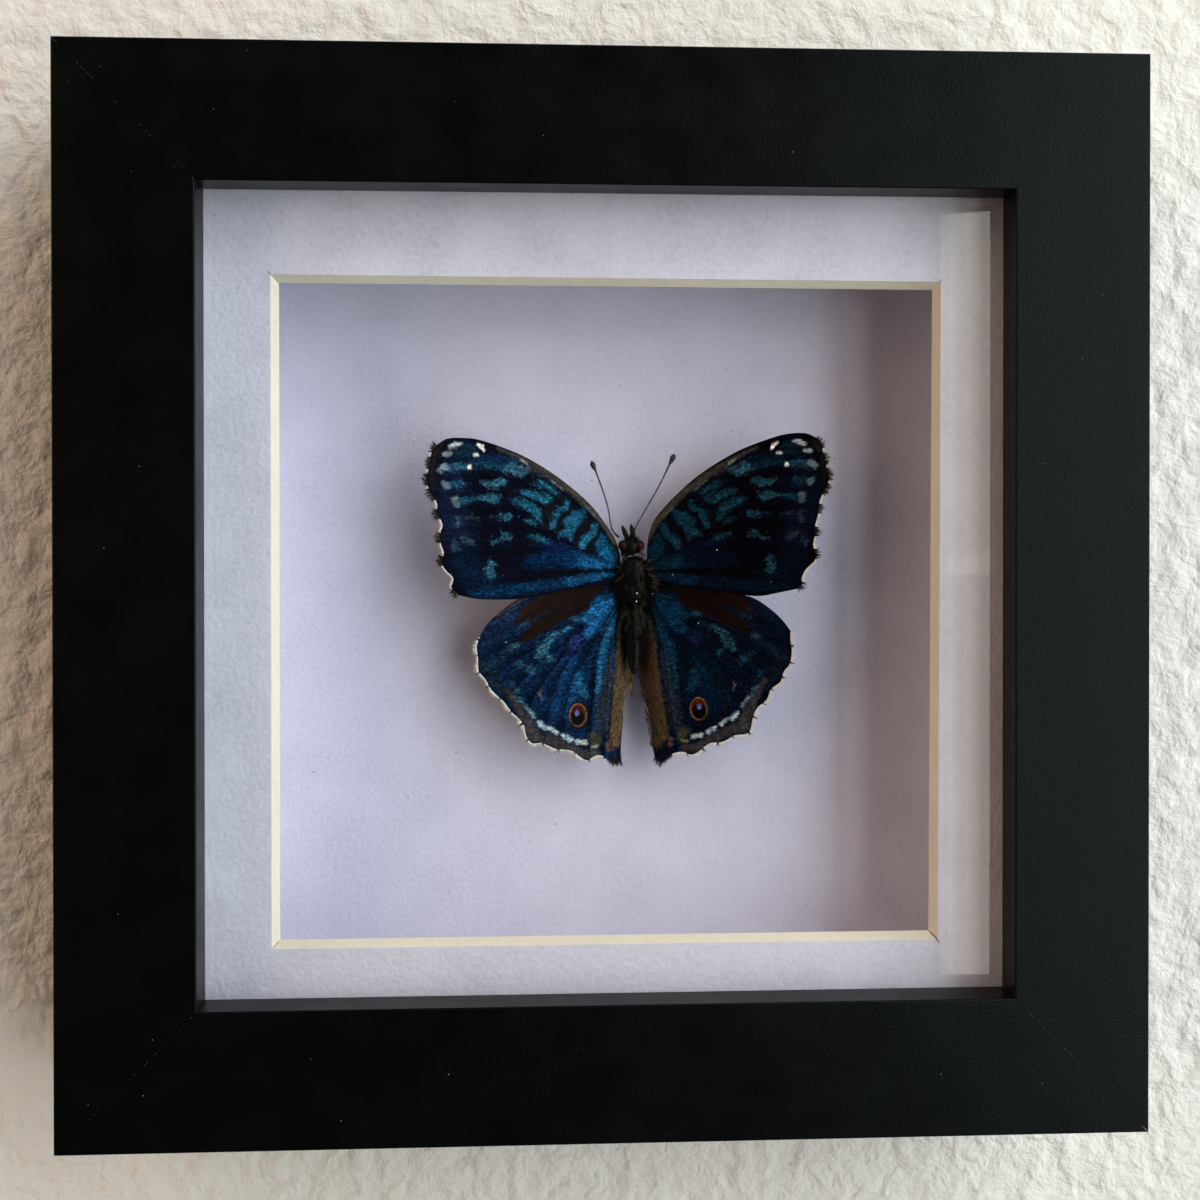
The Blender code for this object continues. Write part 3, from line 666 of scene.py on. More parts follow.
forewing_marks = [
    ("0b1530", 0.45, 0.8, 2.4, [(26, 18.5, 2.4), (27, 12, 2.2), (25.5, 7, 2.4)]),
    ("03162f", 0.6, 0.9, 2.0, [(25, 4, 1.6), (23.5, 1, 2.2), (21, -0.2, 1.2)]),
    ("0b2d52", 0.6, 0.8, 0.8, [(23, 18.6, 0.5), (20, 18.5, 0.6), (17.5, 18.2, 0.3)]),
    ("0a1a44", 0.7, 0.8, 0.8, [(8, 4.8, 0.5), (11, 5.7, 0.7), (13.5, 6, 0.7)]),
    ("134a72", 0.75, 0.95, 0.7, [(2.8, 3.2, 0.5), (5, 3.1, 0.8), (7.5, 3.5, 1.0), (9.5, 3.9, 1.1)]),
    ("042040", 0.75, 0.9, 1.0, [(9.5, 4.0, 1.2), (13, 3.7, 1.3), (15.4, 3.2, 1.0)]),
    ("124c76", 0.75, 1, 0.4, [(2.6, 1.7, 0.3), (5, 1.4, 0.45), (7.5, 1.0, 0.6), (10.5, 0.4, 0.6)]),
    ("062a48", 0.75, 0.9, 0.6, [(10.5, 0.4, 0.6), (14, -0.1, 0.7), (20, -0.9, 0.7), (24, -1.2, 0.4)]),
    ("020312", 0.5, 1, 0.35, [(4, 2.3, 0.1), (8, 2.1, 0.25), (12, 1.8, 0.5), (15, 1.5, 0.8), (18, 1.0, 0.5)]),
    ("10486c", 0.75, 1, 0.4, [(3.0, 4.0, 0.6), (4.4, 5.2, 1.0), (4.9, 6.4, 0.9), (5.1, 7.4, 0.6)]),
    ("18506c", 0.6, 1, 0.3, [(7.4, 10.9, 0.4), (8.5, 10.0, 1.0), (9.4, 8.8, 0.9), (9.2, 7.9, 0.8)],
     [(9.2, 9.3, 0.8), (10.2, 9.7, 0.35)], [(9.1, 7.9, 0.8), (10.3, 7.8, 0.5), (11, 7.5, 0.3)],
     [(8.9, 7.4, 0.5), (9.4, 6.8, 0.3)]),
    ("1a5670", 0.6, 1, 0.3, [(5.7, 8.8, 0.4), (6.2, 7.7, 0.6), (7.0, 6.8, 0.6), (7.7, 6.0, 0.5),
                             (7.9, 5.5, 0.3)]),
    ("1a5671", 0.6, 1, 0.3, [(9.9, 12.4, 0.25), (9.9, 11.7, 0.5), (10.4, 11.3, 0.4)],
     [(11.2, 10.8, 0.4), (11.6, 9.8, 0.5), (12.1, 8.7, 0.5)]),
    ("185068", 0.6, 1, 0.3, [(14.2, 15.0, 0.4), (13.2, 14.7, 0.45), (12.2, 14.0, 0.4), (11.5, 13.6, 0.25)],
     [(16.6, 13.8, 0.3), (15.2, 13.6, 0.55), (13.6, 12.9, 0.65), (12.2, 12.5, 0.5), (11.8, 12.7, 0.3)],
     [(17.6, 12.5, 0.35), (16.2, 12.0, 0.6), (15, 11.3, 0.7), (14.2, 10.4, 0.6), (14.0, 10.0, 0.35)],
     [(16.1, 9.7, 0.2), (15.4, 9.3, 0.3), (14.7, 9.0, 0.15)], [(14.3, 9.8, 0.25), (13.8, 9.4, 0.15)],
     [(15.3, 7.3, 0.25), (14.2, 7.0, 0.4), (13.0, 6.5, 0.3)]),
    ("34607a", 0.4, 1, 0.3, [(19.2, 17.2, 0.45), (18, 17.3, 0.75), (17, 16.8, 0.8), (16.2, 16.7, 0.45)]),
    ("0f3a50", 0.6, 0.9, 0.4, [(23.4, 17.8, 0.3), (21, 17.7, 0.45), (19.5, 17.2, 0.5)]),
    ("1e4860", 0.45, 1, 0.4, [(27.4, 17.3, 0.55), (26, 17.5, 0.6), (24.9, 17.6, 0.5)]),
    ("687b86", 0.1, 1, 0.35, [(28.6, 17.0, 0.4), (27.9, 17.4, 0.5)]),
    ("2e5e76", 0.45, 1, 0.3, [(22.4, 15.1, 0.3), (21.2, 14.9, 0.5), (20.2, 14.9, 0.65), (19.2, 15.2, 0.35)],
     [(22.9, 12.9, 0.2), (21.6, 12.9, 0.55), (20.6, 12.8, 0.6), (20.3, 12.9, 0.35)]),
    ("154660", 0.5, 1, 0.35, [(26.6, 14.9, 0.45), (25.4, 15.0, 0.5)],
     [(25.6, 12.4, 0.5), (23.8, 12.7, 0.35)]),
    ("50646f", 0.15, 1, 0.35, [(28.2, 15.2, 0.2), (27.6, 14.7, 0.55)],
     [(26.4, 12.7, 0.5), (26.2, 11.9, 0.45)]),
    ("27566d", 0.5, 1, 0.3, [(19.9, 10.3, 0.15), (19, 10.1, 0.5), (18.4, 10.3, 0.35)],
     [(21.3, 10.0, 0.08), (20.2, 10.2, 0.1)], [(19.6, 6.9, 0.3), (18.9, 7.3, 0.5), (18.5, 7.0, 0.35)],
     [(20.9, 6.3, 0.25), (20.3, 6.4, 0.2)], [(21.6, 3.6, 0.15), (20.9, 3.2, 0.35)],
     [(21.5, 2.3, 0.55), (21.2, 1.6, 0.6), (20.9, 1.2, 0.3)]),
    ("2b4458", 0.3, 0.8, 0.4, [(24.8, 10, 0.2), (23.2, 9.8, 0.15)], [(26, 9.9, 0.35), (26, 8.9, 0.35)],
     [(26.4, 6.1, 0.35), (26.4, 5.3, 0.35)], [(25.4, 7, 0.3), (24, 6.3, 0.4)]),
    ("02030b", 0.1, 1, 0.25, [(10.9, 13.2, 0.35), (11.9, 12.2, 0.45), (13.0, 11.2, 0.6), (13.0, 9.8, 0.45),
                              (12.9, 8.6, 0.4)], [(9.0, 12.2, 0.3), (9.5, 11.0, 0.35), (10.6, 10.4, 0.35),
                                                  (11.0, 9.3, 0.35), (11.5, 8.2, 0.35)],
     [(6.2, 9.8, 0.35), (7.0, 9.0, 0.45), (8.1, 8.1, 0.5), (8.6, 7.4, 0.45), (8.8, 6.6, 0.35)],
     [(5.0, 8.2, 0.25), (5.6, 6.9, 0.3), (6.5, 6.2, 0.3), (7.1, 5.6, 0.2)]),
    ("2a2a33", 0.2, 0.8, 0.6, [(15.8, 17.4, 0.5), (13.5, 16.6, 0.5), (12.2, 15.8, 0.3)]),
    ("3c3631", 0, 0.95, 0.5, [(2.4, 5.6, 0.5), (4.1, 8.8, 0.55), (6.3, 11.3, 0.5), (9.3, 14.1, 0.5),
                              (12.5, 16.4, 0.4), (16, 18.5, 0.3), (20, 20.1, 0.2)]),
    ("9a9a94", 0, 0.9, 0.25, [(16.8, 18.5, 0.14), (15.9, 18.0, 0.14)]),
    ("56646b", 0.1, 0.8, 0.25, [(12.4, 15.5, 0.1), (10.5, 14.1, 0.1)],
     [(7.2, 11.6, 0.08), (5.9, 10.3, 0.08)]),
    ("1b191c", 0.1, 0.8, 0.6, [(28.6, 20.6, 0.4), (29.6, 18.9, 0.4), (29.9, 16.4, 0.35), (29.6, 14.4, 0.2)]),
    ("0a2c3e", 0.4, 0.9, 0.5, [(25.2, 20.3, 0.5), (24, 20.2, 0.5)], [(26.2, 19.3, 0.4), (24, 19.2, 0.25)]),
    ("a8b0b0", 0, 1, 0.3, [(27.1, 20.4, 0.3), (26.3, 20.7, 0.35), (25.6, 20.9, 0.2)]),
    ("858f93", 0, 1, 0.3, [(27.9, 19.3, 0.35), (27.1, 19.4, 0.3)]),
    ("e4e4df", 0, 1, 0.2, [(23.0, 20.7, 0.18), (22.5, 20.4, 0.32), (22.2, 19.8, 0.16)], [(24.3, 17.4, 0.32)],
     [(23.6, 19.2, 0.2), (22.9, 19.2, 0.14)]),
]
hindwing_veins = [
    [(2.4, -1.5, 0), (8, -3.5, 0), (15, -4.8, 0), (23.2, -8.4, 0)],
    [(8, -5.2, 0), (14.5, -7.2, 0), (19, -8.8, 0), (23.3, -11.4, 0)],
    [(10.5, -6.8, 0), (15.2, -9.6, 0), (19, -12, 0), (22, -13.9, 0)],
    [(9.6, -8.2, 0), (14.3, -11.5, 0), (19, -16.6, 0)],
    [(8.8, -8.4, 0), (12.3, -12.6, 0), (14.6, -15.8, 0), (16.4, -20, 0)],
    [(7.2, -8, 0), (10.9, -13, 0), (12.4, -17, 0), (13.4, -23.4, 0)],
    [(2.8, -3, 0), (6.2, -9, 0), (9.2, -14, 0), (10.4, -19, 0), (10, -24.4, 0)],
    [(2.6, -3.4, 0), (4.9, -8, 0), (5.8, -14, 0), (6.4, -20, 0), (6.6, -26, 0)],
    [(2.4, -4, 0), (3.6, -10, 0), (4.2, -18, 0), (4.4, -25, 0)],
]
hindwing_marks = [
    ("10365f", 0.75, 0.9, 1.6, [(9.4, -11.8, 1.4), (9, -15, 1.6), (10.5, -18.2, 1.4), (12.6, -17.4, 0.8)]),
    ("13233e", 0.5, 0.8, 1.2, [(18, -4.2, 0.7), (20, -6, 0.9), (22, -8.5, 0.8)]),
    ("141f2c", 0.4, 0.9, 1.0, [(22.3, -11.8, 0.7), (20.6, -14.2, 0.8), (18.8, -16.4, 0.6)]),
    ("060f33", 0.6, 0.9, 0.6, [(9.6, -9.8, 0.7), (10.9, -10.2, 0.5)]),
    ("195c90", 0.75, 1, 0.7, [(3.0, -1.8, 0.5), (4.8, -3.2, 1.4), (6.0, -5.2, 1.6), (6.6, -6.8, 0.9)]),
    ("19547c", 0.7, 1, 0.5, [(2.6, -3.6, 0.3), (3.6, -6.4, 0.6), (4.5, -9.5, 0.8), (5.1, -13, 0.5),
                             (5.4, -15.5, 0.3)]),
    ("060f33", 0.6, 1, 0.4, [(7.2, -6.0, 0.35), (8.4, -6.6, 0.75), (8.1, -7.5, 0.45)]),
    ("22346e", 0.6, 0.85, 0.6, [(8.4, -8.3, 0.8), (9.2, -9.0, 0.6)]),
    ("2c5c73", 0.5, 1, 0.35, [(11.2, -7.1, 0.35), (12.6, -8.0, 0.55), (13.5, -9.3, 0.75), (14.2, -10.6, 0.4)],
     [(12.2, -11.0, 0.3), (13.0, -10.2, 0.35)]),
    ("21526d", 0.55, 0.9, 0.4, [(9.6, -4.9, 0.35), (8.3, -5.0, 0.45)], [(9.6, -6.3, 0.3), (10.8, -6.8, 0.2)]),
    ("2e4c5f", 0.4, 1, 0.5, [(18.3, -9.4, 0.45), (17.5, -8.8, 0.5)]),
    ("172f42", 0.5, 0.8, 0.8, [(18.5, -9.6, 0.5), (21.2, -12.4, 0.6)]),
    ("1e465c", 0.5, 0.9, 0.6, [(17, -11.6, 0.4), (15.6, -12.2, 0.6), (15, -12.8, 0.3)],
     [(18, -14.6, 0.4), (17.3, -15.6, 0.4)]),
    ("1b5878", 0.6, 0.9, 0.5, [(8.3, -13.2, 0.4), (8.1, -15.0, 0.6), (7.2, -16.3, 0.5)]),
    ("1c2b40", 0.3, 0.9, 0.5, [(13.0, -4.3, 0.2), (15, -5.1, 0.5), (17.2, -6.2, 0.5)]),
    ("0a0508", 0, 0.75, 0.5, [(7, -1.4, 1.3), (11, -2.8, 1.7), (14.5, -4.8, 1.3)]),
    ("150805", 0, 1, 0.35, [(5.2, -0.2, 1.0), (9, -1.1, 1.25), (13, -2.5, 1.2), (15.6, -3.8, 0.95),
                            (17.0, -5.0, 0.5)]),
    ("26120a", 0, 0.9, 0.5, [(13.4, -2.0, 0.35), (15.8, -3.3, 0.4), (17.0, -4.6, 0.3)]),
    ("120503", 0, 1, 0.35, [(7.6, -2.7, 1.1), (11, -4.3, 1.1), (14, -6.2, 1.0), (16.2, -7.7, 0.8)]),
    ("1e2c3c", 0.3, 0.8, 0.5, [(17.2, -2.7, 0.4), (19, -4.1, 0.4), (20.5, -5.4, 0.3)]),
    ("4a3626", 0, 0.9, 0.2, [(15.5, -1.7, 0.1), (18.3, -2.9, 0.1), (20.5, -4.6, 0.08)]),
    ("04091c", 0.4, 0.9, 0.2, [(9.4, -8.3, 0.1), (12.3, -12.6, 0.14), (14.4, -15.6, 0.12),
                               (15.8, -18.2, 0.1)], [(11.3, -14, 0.05), (12.2, -17, 0.12),
                                                     (12.8, -20.3, 0.14)],
     [(6.4, -7.6, 0.08), (7.8, -9.8, 0.08)], [(3.0, -3.4, 0.05), (5.1, -7, 0.1), (4.7, -12, 0.07),
                                              (4.7, -19, 0.07)],
     [(16.5, -8.8, 0.08), (19.5, -11.4, 0.1), (22, -13.2, 0.08)],
     [(14.8, -9.8, 0.08), (17.5, -13.4, 0.1), (19.3, -16, 0.1)], [(10.4, -15, 0.05), (10.2, -20, 0.07)]),
    ("242c36", 0.2, 0.85, 0.7, [(3.6, -10.5, 0.4), (4.1, -15, 0.8), (4.7, -20, 0.9), (5, -22, 0.8)]),
    ("3a4a50", 0.2, 0.7, 0.2, [(5.2, -12, 0.05), (5.6, -20, 0.08)], [(4.2, -11, 0.05), (4.3, -20, 0.06)]),
    ("43341f", 0, 1, 0.5, [(1.6, -5, 0.7), (1.5, -9, 1.1), (1.6, -13, 1.2), (2.3, -18, 0.9),
                           (2.9, -23, 0.75)], [(0.6, -10, 0.6), (0.6, -16.3, 0.7)]),
    ("343135", 0.05, 1, 0.5, [(18.6, -15.6, 0.4), (17.2, -18.0, 0.5), (15.6, -20.4, 0.8), (15.0, -22.3, 0.9),
                              (13.2, -22.7, 0.8), (11.3, -23.3, 0.8), (9.4, -24.1, 0.7), (7.8, -25.0, 0.7),
                              (5.6, -24.9, 0.5)]),
    ("151010", 0, 0.8, 0.15, [(14.3, -21.9, 0.05), (12.4, -22.4, 0.05), (10.8, -23.1, 0.06), (9, -23.9, 0.06),
                              (7, -24.2, 0.05)]),
    ("3f6876", 0.2, 1, 0.3, [(17.4, -16.5, 0.2), (16.4, -17.6, 0.28)]),
    ("627c89", 0.1, 1, 0.3, [(16.0, -18.0, 0.25), (14.9, -19.3, 0.33)]),
    ("8fa9b6", 0.05, 1, 0.25, [(14.1, -20.3, 0.36), (13.3, -21.0, 0.45)],
     [(10.6, -22.2, 0.3), (9.5, -22.8, 0.36)]),
    ("97a3a5", 0, 1, 0.25, [(12.5, -21.1, 0.25), (11.5, -21.8, 0.3)],
     [(8.6, -23.1, 0.3), (7.3, -23.3, 0.36)]),
    ("33351f", 0, 0.9, 0.6, [(6.1, -22.4, 0.7), (5.4, -23.3, 0.6)]),
    ("7a7a5e", 0, 0.9, 0.3, [(6.3, -23.9, 0.2), (5.6, -23.8, 0.25)]),
    ("6b474d", 0, 0.8, 0.4, [(3.9, -23.5, 0.35), (3.7, -24.3, 0.3)]),
    ("0c0a0a", 0, 1, 0.3, [(3.4, -25.5, 0.25), (2.6, -25.8, 0.45)]),
    ("54464b", 0, 0.8, 0.2, [(13.7, -15.2, 0.06), (14.1, -16.0, 0.18), (13.8, -16.9, 0.1)]),
]
eyespot_place, eyespot_soft = (8.35, -19.2), 0.12
eyespot_rings = [("020203", 0, (1.55, 2.05), (0, 0)), ("7a5a3c", 0, (1.3, 1.72), (0, 0)),
                 ("43100b", 0, (1.15, 1.55), (0, 0)), ("020204", 0.2, (1.02, 1.2), (0.1, -0.4)),
                 ("5d6aa0", 0.3, (0.34, 0.42), (0.12, 0.3))]


def lay_eyespot(shade, blue, x, z):
    """Rings one inside the next: black, tan, a red crescent, a black middle and a blue pupil. Each gives
    its colour, its share of blue scales, its half width and half height, and its place in the spot."""
    for code, share, (wide, tall), (right, up) in eyespot_rings:
        reach = np.hypot((x - eyespot_place[0] - right) / wide, (z - eyespot_place[1] - up) / tall)
        cover = np.clip(0.5 - (reach - 1) * wide / eyespot_soft, 0, 1)
        shade += (np.array(tone(code)[:3]) - shade) * cover[..., None]
        blue += (share - blue) * cover


# The four wings: which side, how far its pattern is turned, stretched and moved from the left one's, how far
# it is lifted and set behind the heart, and its own worn outline, each edge from the body out.
wings = {
    "forewing_left": dict(
        side=-1, turn=0, stretch=(1, 1), shift=(0, 0), lift=7, behind=0,
        front=[(2.1, 4.2), (2.5, 5.8), (3.1, 7.3), (4.8, 9.8), (6.5, 11.9), (8.9, 14.1), (12.5, 16.8),
               (17.1, 19.4), (22.4, 21.3), (25.1, 21.7), (27.5, 21.6), (29.1, 20.7)],
        rear=[(2.1, 0.5), (2.8, 0.2), (5, 0.0), (8.4, -0.4), (13.3, -1.3), (16.6, -1.9), (19.1, -2.1),
              (23.1, -2.0), (26.0, -1.4)],
        outer=[(26.0, -1.4), (27.1, -0.3), (26.8, 1.0), (27.9, 2.2), (28.6, 3.5), (28.2, 4.8), (28.7, 6.3),
               (28.7, 7.7), (28.4, 9), (29.2, 10.7), (29.2, 12.1), (30.3, 14.0), (30.6, 15.2), (30.6, 16.4),
               (30.2, 17.8), (30.0, 19.5), (29.1, 20.7)]),
    "forewing_right": dict(
        side=1, turn=2.7, stretch=(1.014, 0.98), shift=(-1.05, -0.25), lift=7, behind=0,
        front=[(1.9, 4.0), (1.9, 5.8), (2.2, 7.6), (3.0, 9.7), (4.9, 12.0), (6.4, 13.5), (8.7, 15.6),
               (11.8, 17.8), (15.9, 20.1), (20.7, 21.9), (23.3, 22.5), (25.7, 22.5), (27.3, 21.8)],
        rear=[(2.0, 0.3), (3.2, 0.1), (6, -0.1), (10, -0.6), (14, -1.2), (18.3, -1.7), (21, -1.3),
              (24.4, -0.6)],
        outer=[(24.4, -0.6), (25.1, 0.2), (25.1, 1), (25.7, 2.2), (27.0, 3.5), (27.1, 4.6), (26.8, 6),
               (27.1, 7.4), (27.1, 8.7), (27.5, 10.3), (27.6, 11.8), (28.2, 13.5), (29.1, 15.4), (28.9, 17.1),
               (28.5, 18.8), (28.1, 20.4), (27.3, 21.8)]),
    "hindwing_left": dict(
        side=-1, turn=0, stretch=(1, 1), shift=(0, 0), lift=5, behind=0.8,
        front=[(2.2, 0.3), (7, 0.5), (12, 0.0), (16, -1.45), (18.2, -2.7), (20.2, -4.2), (21.8, -5.8),
               (22.9, -7.6)],
        rear=[(1.9, -1.8), (1.1, -4.5), (0.8, -7), (0.5, -10), (0.35, -13), (0.35, -14.5), (0.6, -15.0),
              (1.0, -15.1), (1.5, -15.3), (1.65, -17.6), (1.7, -20), (2.0, -23.8), (1.9, -26.2)],
        outer=[(1.9, -26.2), (3.2, -26.3), (4.3, -25.5), (5.6, -25.3), (7.0, -26.0), (8.1, -25.5),
               (9.1, -24.7), (10.3, -24.4), (11.6, -24.3), (12.8, -23.8), (13.8, -23.4), (15.2, -23.4),
               (16.1, -22.3), (16.4, -20.9), (17.1, -19.8), (18.3, -18.7), (19.4, -17.2), (21.1, -15.6),
               (22.1, -13.9), (23.1, -12.6), (23.2, -10.6), (23.4, -9.0), (22.9, -7.6)]),
    "hindwing_right": dict(
        side=1, turn=4, stretch=(0.99, 0.99), shift=(0, 0), lift=5, behind=0.8,
        front=[(2.0, 0.3), (7, 0.4), (12, 0.0), (16, -1.4), (18, -2.1), (19.5, -3.0), (21, -4.2),
               (22.3, -5.5), (23.4, -7.0)],
        rear=[(1.7, -1.8), (1.0, -4.5), (0.7, -8.7), (0.85, -12.8), (1.5, -16.6), (2.3, -19.7), (2.6, -23.2),
              (3.0, -25.6)],
        outer=[(3.0, -25.6), (3.8, -26.3), (4.9, -25.8), (5.8, -25.1), (7.2, -24.9), (8.4, -25.3),
               (9.4, -25.0), (10.4, -24.2), (11.4, -23.6), (12.8, -23.5), (13.9, -23.1), (14.9, -22.5),
               (16.6, -22.3), (17.4, -21.6), (17.8, -19.6), (18.5, -18.3), (19.8, -17.2), (20.5, -15.6),
               (21.9, -14.5), (22.4, -13), (23.3, -11.8), (23.6, -9.8), (23.4, -8.3), (23.4, -7.0)]),
}
wing_thick = 0.08 * mm
scale_tip = math.tan(math.radians(8))


def wing_depth(wing, across, height):
    """How far in front of the heart, in mm, a wing's sheet lies. It rises from the body out, and the hind
    wing's inner edge curls back beside the abdomen."""
    raised = across * math.tan(math.radians(wing["lift"])) - wing["behind"]
    if wing["behind"]:
        raised = raised - 0.3 * np.clip(3.4 - across, 0, 3) ** 2 * np.clip(-height / 6, 0, 1)
    return raised


for name, wing in wings.items():
    fore = name.startswith("forewing")
    columns, rows = (200, 150) if fore else (180, 160)
    root = [wing["rear"][0], wing["front"][0]]
    grid = stretched(wing["front"], wing["rear"], root, wing["outer"], columns, rows)
    x, z = grid[..., 0], grid[..., 1]

    # Back to the left wing's pattern. Scales wander over the edges of its marks, and one in ten goes far.
    angle = math.radians(-wing["turn"])
    px, pz = (x - wing["shift"][0]) / wing["stretch"][0], (z - wing["shift"][1]) / wing["stretch"][1]
    px, pz = px * math.cos(angle) - pz * math.sin(angle), px * math.sin(angle) + pz * math.cos(angle)
    dice = np.random.default_rng(5)
    strays = 1 + 3.5 * (dice.random(x.shape) < 0.1)
    wander = dice.normal(0, 0.11, (2, *x.shape)) * strays
    ragged = (px + 0.5 * (mottled(px, pz, 0.45, 1) - 0.5) + wander[0] * 1.6,
              pz + 0.35 * (mottled(px, pz, 0.45, 2) - 0.5) + wander[1])
    crisp = (px + 0.2 * (mottled(px, pz, 0.4, 4) - 0.5) + dice.normal(0, 0.04, x.shape),
             pz + 0.2 * (mottled(px, pz, 0.4, 6) - 0.5) + dice.normal(0, 0.04, x.shape))

    # The ground colour, the marks, a dark outer edge, and wear in streaks and from scale to scale.
    ground = "020414" if fore else "081e3a"
    shade = np.ones((*x.shape, 3)) * np.array(tone(ground)[:3])
    blue = np.full(x.shape, 0.5 if fore else 0.7)
    lay_marks(shade, blue, ragged, crisp, forewing_marks if fore else hindwing_marks)
    if not fore:
        lay_eyespot(shade, blue, px, pz)
    edge_strip = [(a, b, 0.12) for a, b in wing["outer"]]
    lay_marks(shade, blue, (x, z), (x, z), [("08070a", 0.1, 0.9, 0.35, edge_strip)])
    u, v = np.meshgrid(np.linspace(0, 1, columns), np.linspace(0, 1, rows), indexing="ij")
    shade *= (0.75 + 0.5 * mottled(v * 90, u * 9, 1, 8))[..., None]
    shade *= (dice.uniform(0.6, 1.4, x.shape) * (1 - 0.5 * blue))[..., None]

    # The membrane sags between its veins, which are darker for about 0.2 mm.
    veins = forewing_veins if fore else hindwing_veins
    off_vein = np.min([gap_to(px, pz, vein) for vein in veins], axis=0)
    sag = 0.14 * np.clip(off_vein / 0.9, 0, 1) ** 0.7 + 0.25 * (mottled(px, pz, 5, 3) - 0.5)
    shade *= (1 - 0.6 * np.clip(1 - off_vein / 0.2, 0, 1))[..., None]
    places = sighted(wing["side"] * x, z, wing_depth(wing, x, z) - sag)

    bm = bmesh.new()
    bmesh.ops.create_grid(bm, x_segments=columns - 1, y_segments=rows - 1, size=1)
    if wing["side"] < 0:
        bmesh.ops.reverse_faces(bm, faces=bm.faces)
    piece = add_piece(name + "_membrane", bm, scales)
    mesh = piece.data
    by_row = np.swapaxes(places, 0, 1).reshape(-1, 3)
    mesh.vertices.foreach_set("co", by_row.astype(np.float32).ravel())
    paint = mesh.attributes.new("scale_colour", "FLOAT_COLOR", "POINT")
    rgba = np.concatenate([np.swapaxes(shade, 0, 1).reshape(-1, 3), np.ones((columns * rows, 1))], axis=1)
    paint.data.foreach_set("color", rgba.astype(np.float32).ravel())
    lean = mesh.attributes.new("scale_lean", "FLOAT_VECTOR", "POINT")
    lean.data.foreach_set("vector", np.tile([-wing["side"] * scale_tip, 0, 0], columns * rows))
    share = mesh.attributes.new("blue_share", "FLOAT", "POINT")
    share.data.foreach_set("value", np.swapaxes(blue, 0, 1).astype(np.float32).ravel())
    mesh.update()
    membrane = piece.modifiers.new("membrane", "SOLIDIFY")
    membrane.thickness = wing_thick
    membrane.offset = -1
    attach(piece, "root")
    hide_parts(name)
    wing["edge"] = places[-1]
    wing["edge_height"] = pz[-1]


# ---- Fringe on the wings ---------------------------------------------------------------------------------
# Long hair scales along the outer edges: white ones with a few brown ticks round the hindwings, and on the
# forewings brown tufts at the ends of the veins with white ones between. Each hair is a three-sided cone.
def hair_mesh():
    """One hair a metre long and wide, standing on the origin along Z, bent a little and drawn to a point."""
    bm = bmesh.new()
    bmesh.ops.create_cone(bm, cap_ends=True, segments=3, radius1=0.5, radius2=0.4, depth=0.5,
                          matrix=Matrix.Translation((0, 0, 0.25)))
    top = [face for face in bm.faces if face.calc_center_median().z > 0.49]
    tip = bmesh.ops.extrude_face_region(bm, geom=top)["geom"]
    tip = [g for g in tip if isinstance(g, bmesh.types.BMVert)]
    bmesh.ops.scale(bm, vec=(0.15, 0.15, 1), verts=tip)
    bmesh.ops.translate(bm, vec=(0.9, 0, 0.5), verts=tip)
    bmesh.ops.delete(bm, geom=top, context="FACES_ONLY")
    mesh = bpy.data.meshes.new("hair")
    bm.to_mesh(mesh)
    bm.free()
    return mesh


hair = hair_mesh()


def plant(bm, root, direction, length, width, roll):
    """Sets one hair into bm, on root and along direction, rolled about its own length."""
    one = hair.copy()
    turn = Vector(direction).to_track_quat("Z", "X").to_matrix().to_4x4()
    one.transform(Matrix.Translation(root) @ turn @ Matrix.Rotation(roll, 4, "Z")
                  @ Matrix.Diagonal((width, width, length, 1)))
    bm.from_mesh(one)
    bpy.data.meshes.remove(one)


def hair_scales(name, code, tip_code):
    """Keratin-like hair scales: matt, streaked between two colours every 0.3 mm or so."""
    finish, tree, shader = new_finish(name, Roughness=0.75, Specular_IOR_Level=0.08)
    place = add_node(tree, "ShaderNodeTexCoord").outputs["Object"]
    streak = add_node(tree, "ShaderNodeTexNoise", {"Vector": place, "Scale": 1 / (0.4 * mm), "Detail": 2.0})
    shade = add_node(tree, "ShaderNodeMix", {0: streak.outputs["Fac"], 6: tone(code), 7: tone(tip_code)},
                     data_type="RGBA")
    tree.links.new(shade.outputs[2], shader.inputs["Base Color"])
    return finish


